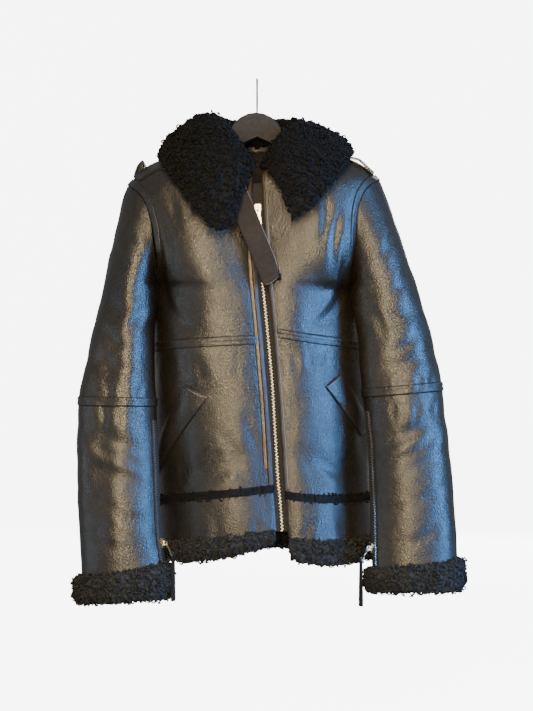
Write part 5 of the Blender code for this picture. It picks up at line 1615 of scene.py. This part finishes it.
def build_zip():
    slider_foot = ZIP_SLIDER_Z - SLIDER_HEIGHT / 2
    heights = np.linspace(-182, ZIP_STOP_Z - 4, 150)
    middle = np.column_stack([zip_point(heights), heights])
    across = np.tile([1.0, 0, 0], (len(middle), 1))
    out = np.tile([0, -1.0, 0], (len(middle), 1))
    tape_face = middle + np.array([0, TAPE_BACK, 0])
    tape = strap_grid(tape_face, across, out, ZIP_TAPE_HALF, ZIP_TAPE_THICK, 11)
    cloth("zip_tape", [tape], ("tape",), "hung", ["cut_front_right_upper", "cut_front_left_upper"])
    below = heights < slider_foot
    face = tape_face - np.array([0, SEAM_GAP, 0])
    chain = teeth("zip_teeth", face[below], across[below], out[below], MAIN_TEETH, CHAIN_THICK)
    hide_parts("zip_chain")


def build_cuff_zips():
    rings = np.linspace(*CUFF_ZIP_RINGS, 60)
    turns = np.linspace(*CUFF_TAPE_TURNS, 9)
    lift = SEAM_GAP + CUFF_TAPE_THICK
    for side in SIDES:
        tape = sleeve(side, rings, turns, lift, CUFF_TAPE_THICK)
        cloth(f"cuff_zip_tape_{side}", [tape], ("tape",), "laid", [f"cut_sleeve_{side}_lower"])
        line, under = sleeve(side, rings, [CUFF_CHAIN_TURN], lift + SEAM_GAP, 1.0)
        line, out = line[:, 0], unit(line[:, 0] - under[:, 0])
        across = unit(np.cross(unit(np.gradient(line, axis=0)), out))
        chain = teeth(f"cuff_teeth_{side}", line, across, out, 2.2, CUFF_CHAIN_THICK)
        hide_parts(f"cuff_zip_chain_{side}")


# ---- finishes ------------------------------------------------------------------------------

class Finish:
    """A procedural material, in the object's own coordinates."""

    def __init__(self, name, colour, roughness, metallic=0.0, **sockets):
        self.material = bpy.data.materials.new(name)
        self.material.use_nodes = True
        self.nodes = self.material.node_tree.nodes
        self.links = self.material.node_tree.links
        self.shader = self.nodes["Principled BSDF"]
        self.where = self.nodes.new("ShaderNodeTexCoord").outputs["Object"]
        self.shader.inputs["Base Color"].default_value = (*colour, 1)
        self.shader.inputs["Roughness"].default_value = roughness
        self.shader.inputs["Metallic"].default_value = metallic
        for socket, value in sockets.items():
            self.shader.inputs[socket.replace("_", " ")].default_value = value
        self.normal = None

    def add(self, kind, output, **inputs):
        """A node whose inputs are values or other nodes' outputs."""
        node = self.nodes.new("ShaderNode" + kind)
        for name, value in inputs.items():
            socket = node.inputs[name.replace("_", " ")]
            if isinstance(value, bpy.types.NodeSocket):
                self.links.new(value, socket)
            else:
                socket.default_value = value
        return node.outputs[output]

    def noise(self, scale, detail=2.0):
        return self.add("TexNoise", "Fac", Vector=self.where, Scale=scale, Detail=detail)

    def cells(self, scale):
        return self.add("TexVoronoi", "Distance", Vector=self.where, Scale=scale)

    def between(self, value, to_low, to_high, low=0.3, high=0.7):
        limits = {"From_Min": low, "From_Max": high, "To_Min": to_low, "To_Max": to_high}
        return self.add("MapRange", "Result", Value=value, **limits)

    def sum(self, first, second):
        total = self.nodes.new("ShaderNodeMath")
        total.operation = "ADD"
        self.links.new(first, total.inputs[0])
        self.links.new(second, total.inputs[1])
        return total.outputs[0]

    def colour(self, value, dark, light, low=0.3, high=0.7):
        """Runs the colour from dark to light as the value goes from low to high."""
        output = self.add("ValToRGB", "Color", Fac=value)
        for element, place, colour in zip(output.node.color_ramp.elements, (low, high), (dark, light)):
            element.position = place
            element.color = (*colour, 1)
        self.use(output, "Base Color")

    def bump(self, height, strength, distance):
        inputs = {"Strength": strength, "Distance": distance, "Height": height}
        if self.normal is not None:
            inputs["Normal"] = self.normal
        self.normal = self.add("Bump", "Normal", **inputs)
        self.use(self.normal, "Normal")

    def use(self, value, socket):
        self.links.new(value, self.shader.inputs[socket])


def leather_finish(name, dark, light, rough, grain=1.0, shine=0.5):
    """Leather with broad and fine changes of colour, worn patches and a fine grain."""
    finish = Finish(name, dark, rough, Specular_IOR_Level=shine)
    broad = finish.between(finish.noise(6, 3), 0, 0.6)
    patches = finish.sum(broad, finish.between(finish.noise(90, 4), 0, 0.4))
    finish.colour(patches, dark, light, 0.2, 0.8)
    worn = finish.between(finish.noise(14, 4), rough - 0.04, rough + 0.05)
    speckle = finish.between(finish.noise(420, 2), -0.10, 0.10, 0.35, 0.65)
    finish.use(finish.sum(worn, speckle), "Roughness")
    finish.bump(finish.noise(55, 4), 0.3 * grain, 0.0025)
    finish.bump(finish.noise(340, 3), 0.55 * grain, 0.0011)
    finish.bump(finish.cells(430), 0.5 * grain, 0.0007)
    return finish.material


def wool_finish(name, dark, light):
    finish = Finish(name, dark, 0.8, Specular_IOR_Level=0.25)
    finish.colour(finish.noise(160, 3), dark, light, 0.35)
    finish.bump(finish.noise(700, 3), 0.6, 0.001)
    return finish.material


def lining_finish(name, dark, light):
    """Short wool seen from a distance, inside the jacket."""
    finish = Finish(name, (0.006, 0.006, 0.007), 0.9, Sheen_Weight=0.2)
    finish.colour(finish.noise(220, 3), dark, light)
    finish.bump(finish.noise(420, 3), 1.0, 0.002)
    return finish.material


def cloth_finish(name, dark, light):
    finish = Finish(name, (0.012, 0.012, 0.013), 0.85)
    finish.colour(finish.noise(300, 2), dark, light)
    finish.bump(finish.cells(1300), 0.8, 0.0004)
    return finish.material


def metal_finish(name, dark, light, rough):
    finish = Finish(name, dark, rough, 1.0)
    finish.colour(finish.noise(260, 3), dark, light)
    finish.use(finish.between(finish.noise(500, 3), rough - 0.06, rough + 0.1), "Roughness")
    finish.bump(finish.noise(900, 2), 0.1, 0.0002)
    return finish.material


def plain_finish(name, dark, light, rough, scale):
    finish = Finish(name, dark, rough)
    finish.colour(finish.noise(scale, 3), dark, light)
    finish.use(finish.between(finish.noise(scale * 4, 3), rough - 0.05, rough + 0.08), "Roughness")
    finish.bump(finish.noise(scale * 9, 2), 0.2, 0.0003)
    return finish.material


# Each finish: how it is made, its darker and its lighter colour, and what else its maker takes
FINISHES = {
    "leather": (leather_finish, (0.007, 0.0064, 0.0048), (0.017, 0.0135, 0.0085), 0.37, 1.0, 0.6),
    "strap": (leather_finish, (0.012, 0.0095, 0.0085), (0.020, 0.016, 0.014), 0.6, 0.2, 0.15),
    "edge": (leather_finish, (0.10, 0.070, 0.042), (0.17, 0.125, 0.08), 0.32, 1.3),
    "brown": (leather_finish, (0.024, 0.016, 0.011), (0.046, 0.031, 0.021), 0.46),
    # dark: near-black lines of painted shade in the grooves beside seams; pale: lines of painted highlight
    # along edges, partly the leather's lighter raw edge
    "dark": (plain_finish, (0.0015, 0.0015, 0.0015), (0.003, 0.003, 0.003), 0.8, 200),
    "pale": (plain_finish, (0.16, 0.13, 0.09), (0.26, 0.21, 0.15), 0.5, 300),
    "lining": (lining_finish, (0.004, 0.004, 0.005), (0.014, 0.014, 0.016)),
    "wool": (wool_finish, (0.0010, 0.0011, 0.0012), (0.0036, 0.0038, 0.0041)),
    # A lighter grey copy of the wool, on the cuffs and the hem
    "worn_wool": (wool_finish, (0.009, 0.0095, 0.010), (0.033, 0.035, 0.037)),
    "tape": (cloth_finish, (0.008, 0.008, 0.009), (0.018, 0.018, 0.02)),
    "thread": (plain_finish, (0.012, 0.011, 0.010), (0.03, 0.026, 0.022), 0.6, 500),
    "zip_metal": (metal_finish, (0.36, 0.34, 0.31), (0.52, 0.50, 0.46), 0.32),
    "slider_metal": (metal_finish, (0.55, 0.50, 0.38), (0.70, 0.65, 0.52), 0.28),
    "hook_metal": (metal_finish, (0.10, 0.10, 0.10), (0.20, 0.20, 0.19), 0.4),
    "hanger": (plain_finish, (0.003, 0.0032, 0.0033), (0.006, 0.0062, 0.0062), 0.7, 40),
}
# The solids that are shown as they are, under the finish that each has
SHOWN_NODES = {
    "slider_metal": (
        "zip_slider", "zip_pull", "cuff_slider_right", "cuff_slider_left", "cuff_pull_right",
        "cuff_pull_left",
    ),
    "strap": ("cuff_puller_right", "cuff_puller_left"),
    "hanger": ("hanger_body",),
    "hook_metal": ("hook",),
}


def finish_nodes():
    for finish, nodes in SHOWN_NODES.items():
        for node in nodes:
            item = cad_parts[node]
            item.data.materials.clear()
            item.data.materials.append(MATERIALS[finish])


# ---- stage ---------------------------------------------------------------------------------

FLOOR_Z = -0.99
STAGE_RADIUS = 5.4
BACKDROP_GLOW = 6.5
CAMERA_AWAY = 4.5
FRAME_PLANE = -0.05
FRAME_HIGH = 1.2087
FRAME_CENTRE = (0.0162, -0.4735)


def build_stage():
    """A round pale floor that curves up into a backdrop on every side."""
    profile = [(0.0001, FLOOR_Z), (STAGE_RADIUS, FLOOR_Z)]
    for angle in np.linspace(0, 90, 10)[1:]:
        turn = math.radians(angle)
        profile.append((STAGE_RADIUS + 0.6 * math.sin(turn), FLOOR_Z + 0.6 * (1 - math.cos(turn))))
    profile.append((STAGE_RADIUS + 0.6, 4.0))
    around = np.linspace(0, 2 * math.pi, 65)[:-1]
    points = [(r * math.cos(turn), r * math.sin(turn), z) for r, z in profile for turn in around]
    data = bpy.data.meshes.new("backdrop")
    data.from_pydata(points, [], grid_quads(len(profile), len(around), False, True).tolist())
    data.shade_smooth()
    finish = Finish("backdrop", (0.86, 0.86, 0.87), 0.9)
    finish.shader.inputs["Emission Color"].default_value = (1, 1, 1, 1)
    finish.shader.inputs["Emission Strength"].default_value = BACKDROP_GLOW
    data.materials.append(finish.material)
    item = bpy.data.objects.new("backdrop", data)
    bpy.context.scene.collection.objects.link(item)
    item.visible_glossy = False
    item.visible_diffuse = False


def add_light(name, place, aim, size, power, colour):
    data = bpy.data.lights.new(name, "AREA")
    data.shape = "RECTANGLE"
    data.size, data.size_y = size
    data.energy = power
    data.color = colour
    item = bpy.data.objects.new(name, data)
    item.location = place
    item.rotation_euler = (Vector(aim) - Vector(place)).to_track_quat("-Z", "Y").to_euler()
    bpy.context.scene.collection.objects.link(item)
    return item


def build_lights():
    aim = (0.02, -0.05, -0.45)
    add_light("warm_front", (-0.1, -2.45, 0.0), aim, (0.5, 2.8), 135, (1.0, 0.77, 0.45))
    add_light("blue_side", (2.4, -1.25, -0.3), aim, (0.9, 2.8), 255, (0.13, 0.42, 1.0))
    add_light("blue_far", (-2.3, -0.7, -0.7), aim, (0.5, 1.6), 10, (0.6, 0.8, 1.0))
    add_light("behind", (0.5, 2.8, 0.4), aim, (1.2, 2.2), 70, (1.0, 0.93, 0.85))
    add_light("top", (0.1, -1.2, 1.9), (0.0, 0.0, -0.2), (2.0, 0.8), 12, (1.0, 0.9, 0.75))
    world = bpy.data.worlds.new("room")
    bpy.context.scene.world = world
    world.use_nodes = True
    world.node_tree.nodes["Background"].inputs["Color"].default_value = (0.9, 0.93, 1.0, 1)
    world.node_tree.nodes["Background"].inputs["Strength"].default_value = 0.32


def build_camera():
    data = bpy.data.cameras.new("photo_camera")
    data.sensor_width = 36
    data.lens = 36 * (CAMERA_AWAY + FRAME_PLANE) / FRAME_HIGH
    camera = bpy.data.objects.new("photo_camera", data)
    camera.location = (FRAME_CENTRE[0], -CAMERA_AWAY, FRAME_CENTRE[1])
    camera.rotation_euler = (math.radians(90), 0, 0)
    bpy.context.scene.collection.objects.link(camera)
    bpy.context.scene.camera = camera


STITCHES = []
# Lines of painted shade (dark) and of painted highlight (pale) on the cloth
PAINTED_LIGHT_LINES = {"dark": [], "pale": []}
WAVES = make_waves()
MATERIALS = {name: make(name, *settings) for name, (make, *settings) in FINISHES.items()}
ARMHOLE_NORMALS = {side: armhole_normals(side) for side in SIDES}
build_fronts()
build_back()
build_overlays()
build_sleeves()
build_pockets()
build_strap()
build_epaulettes()
build_collar()
build_cuffs()
build_hem_wool()
build_trim_wool()
build_zip()
build_cuff_zips()
build_stitches()
build_painted_light_lines()
finish_nodes()
build_stage()
build_lights()
build_camera()
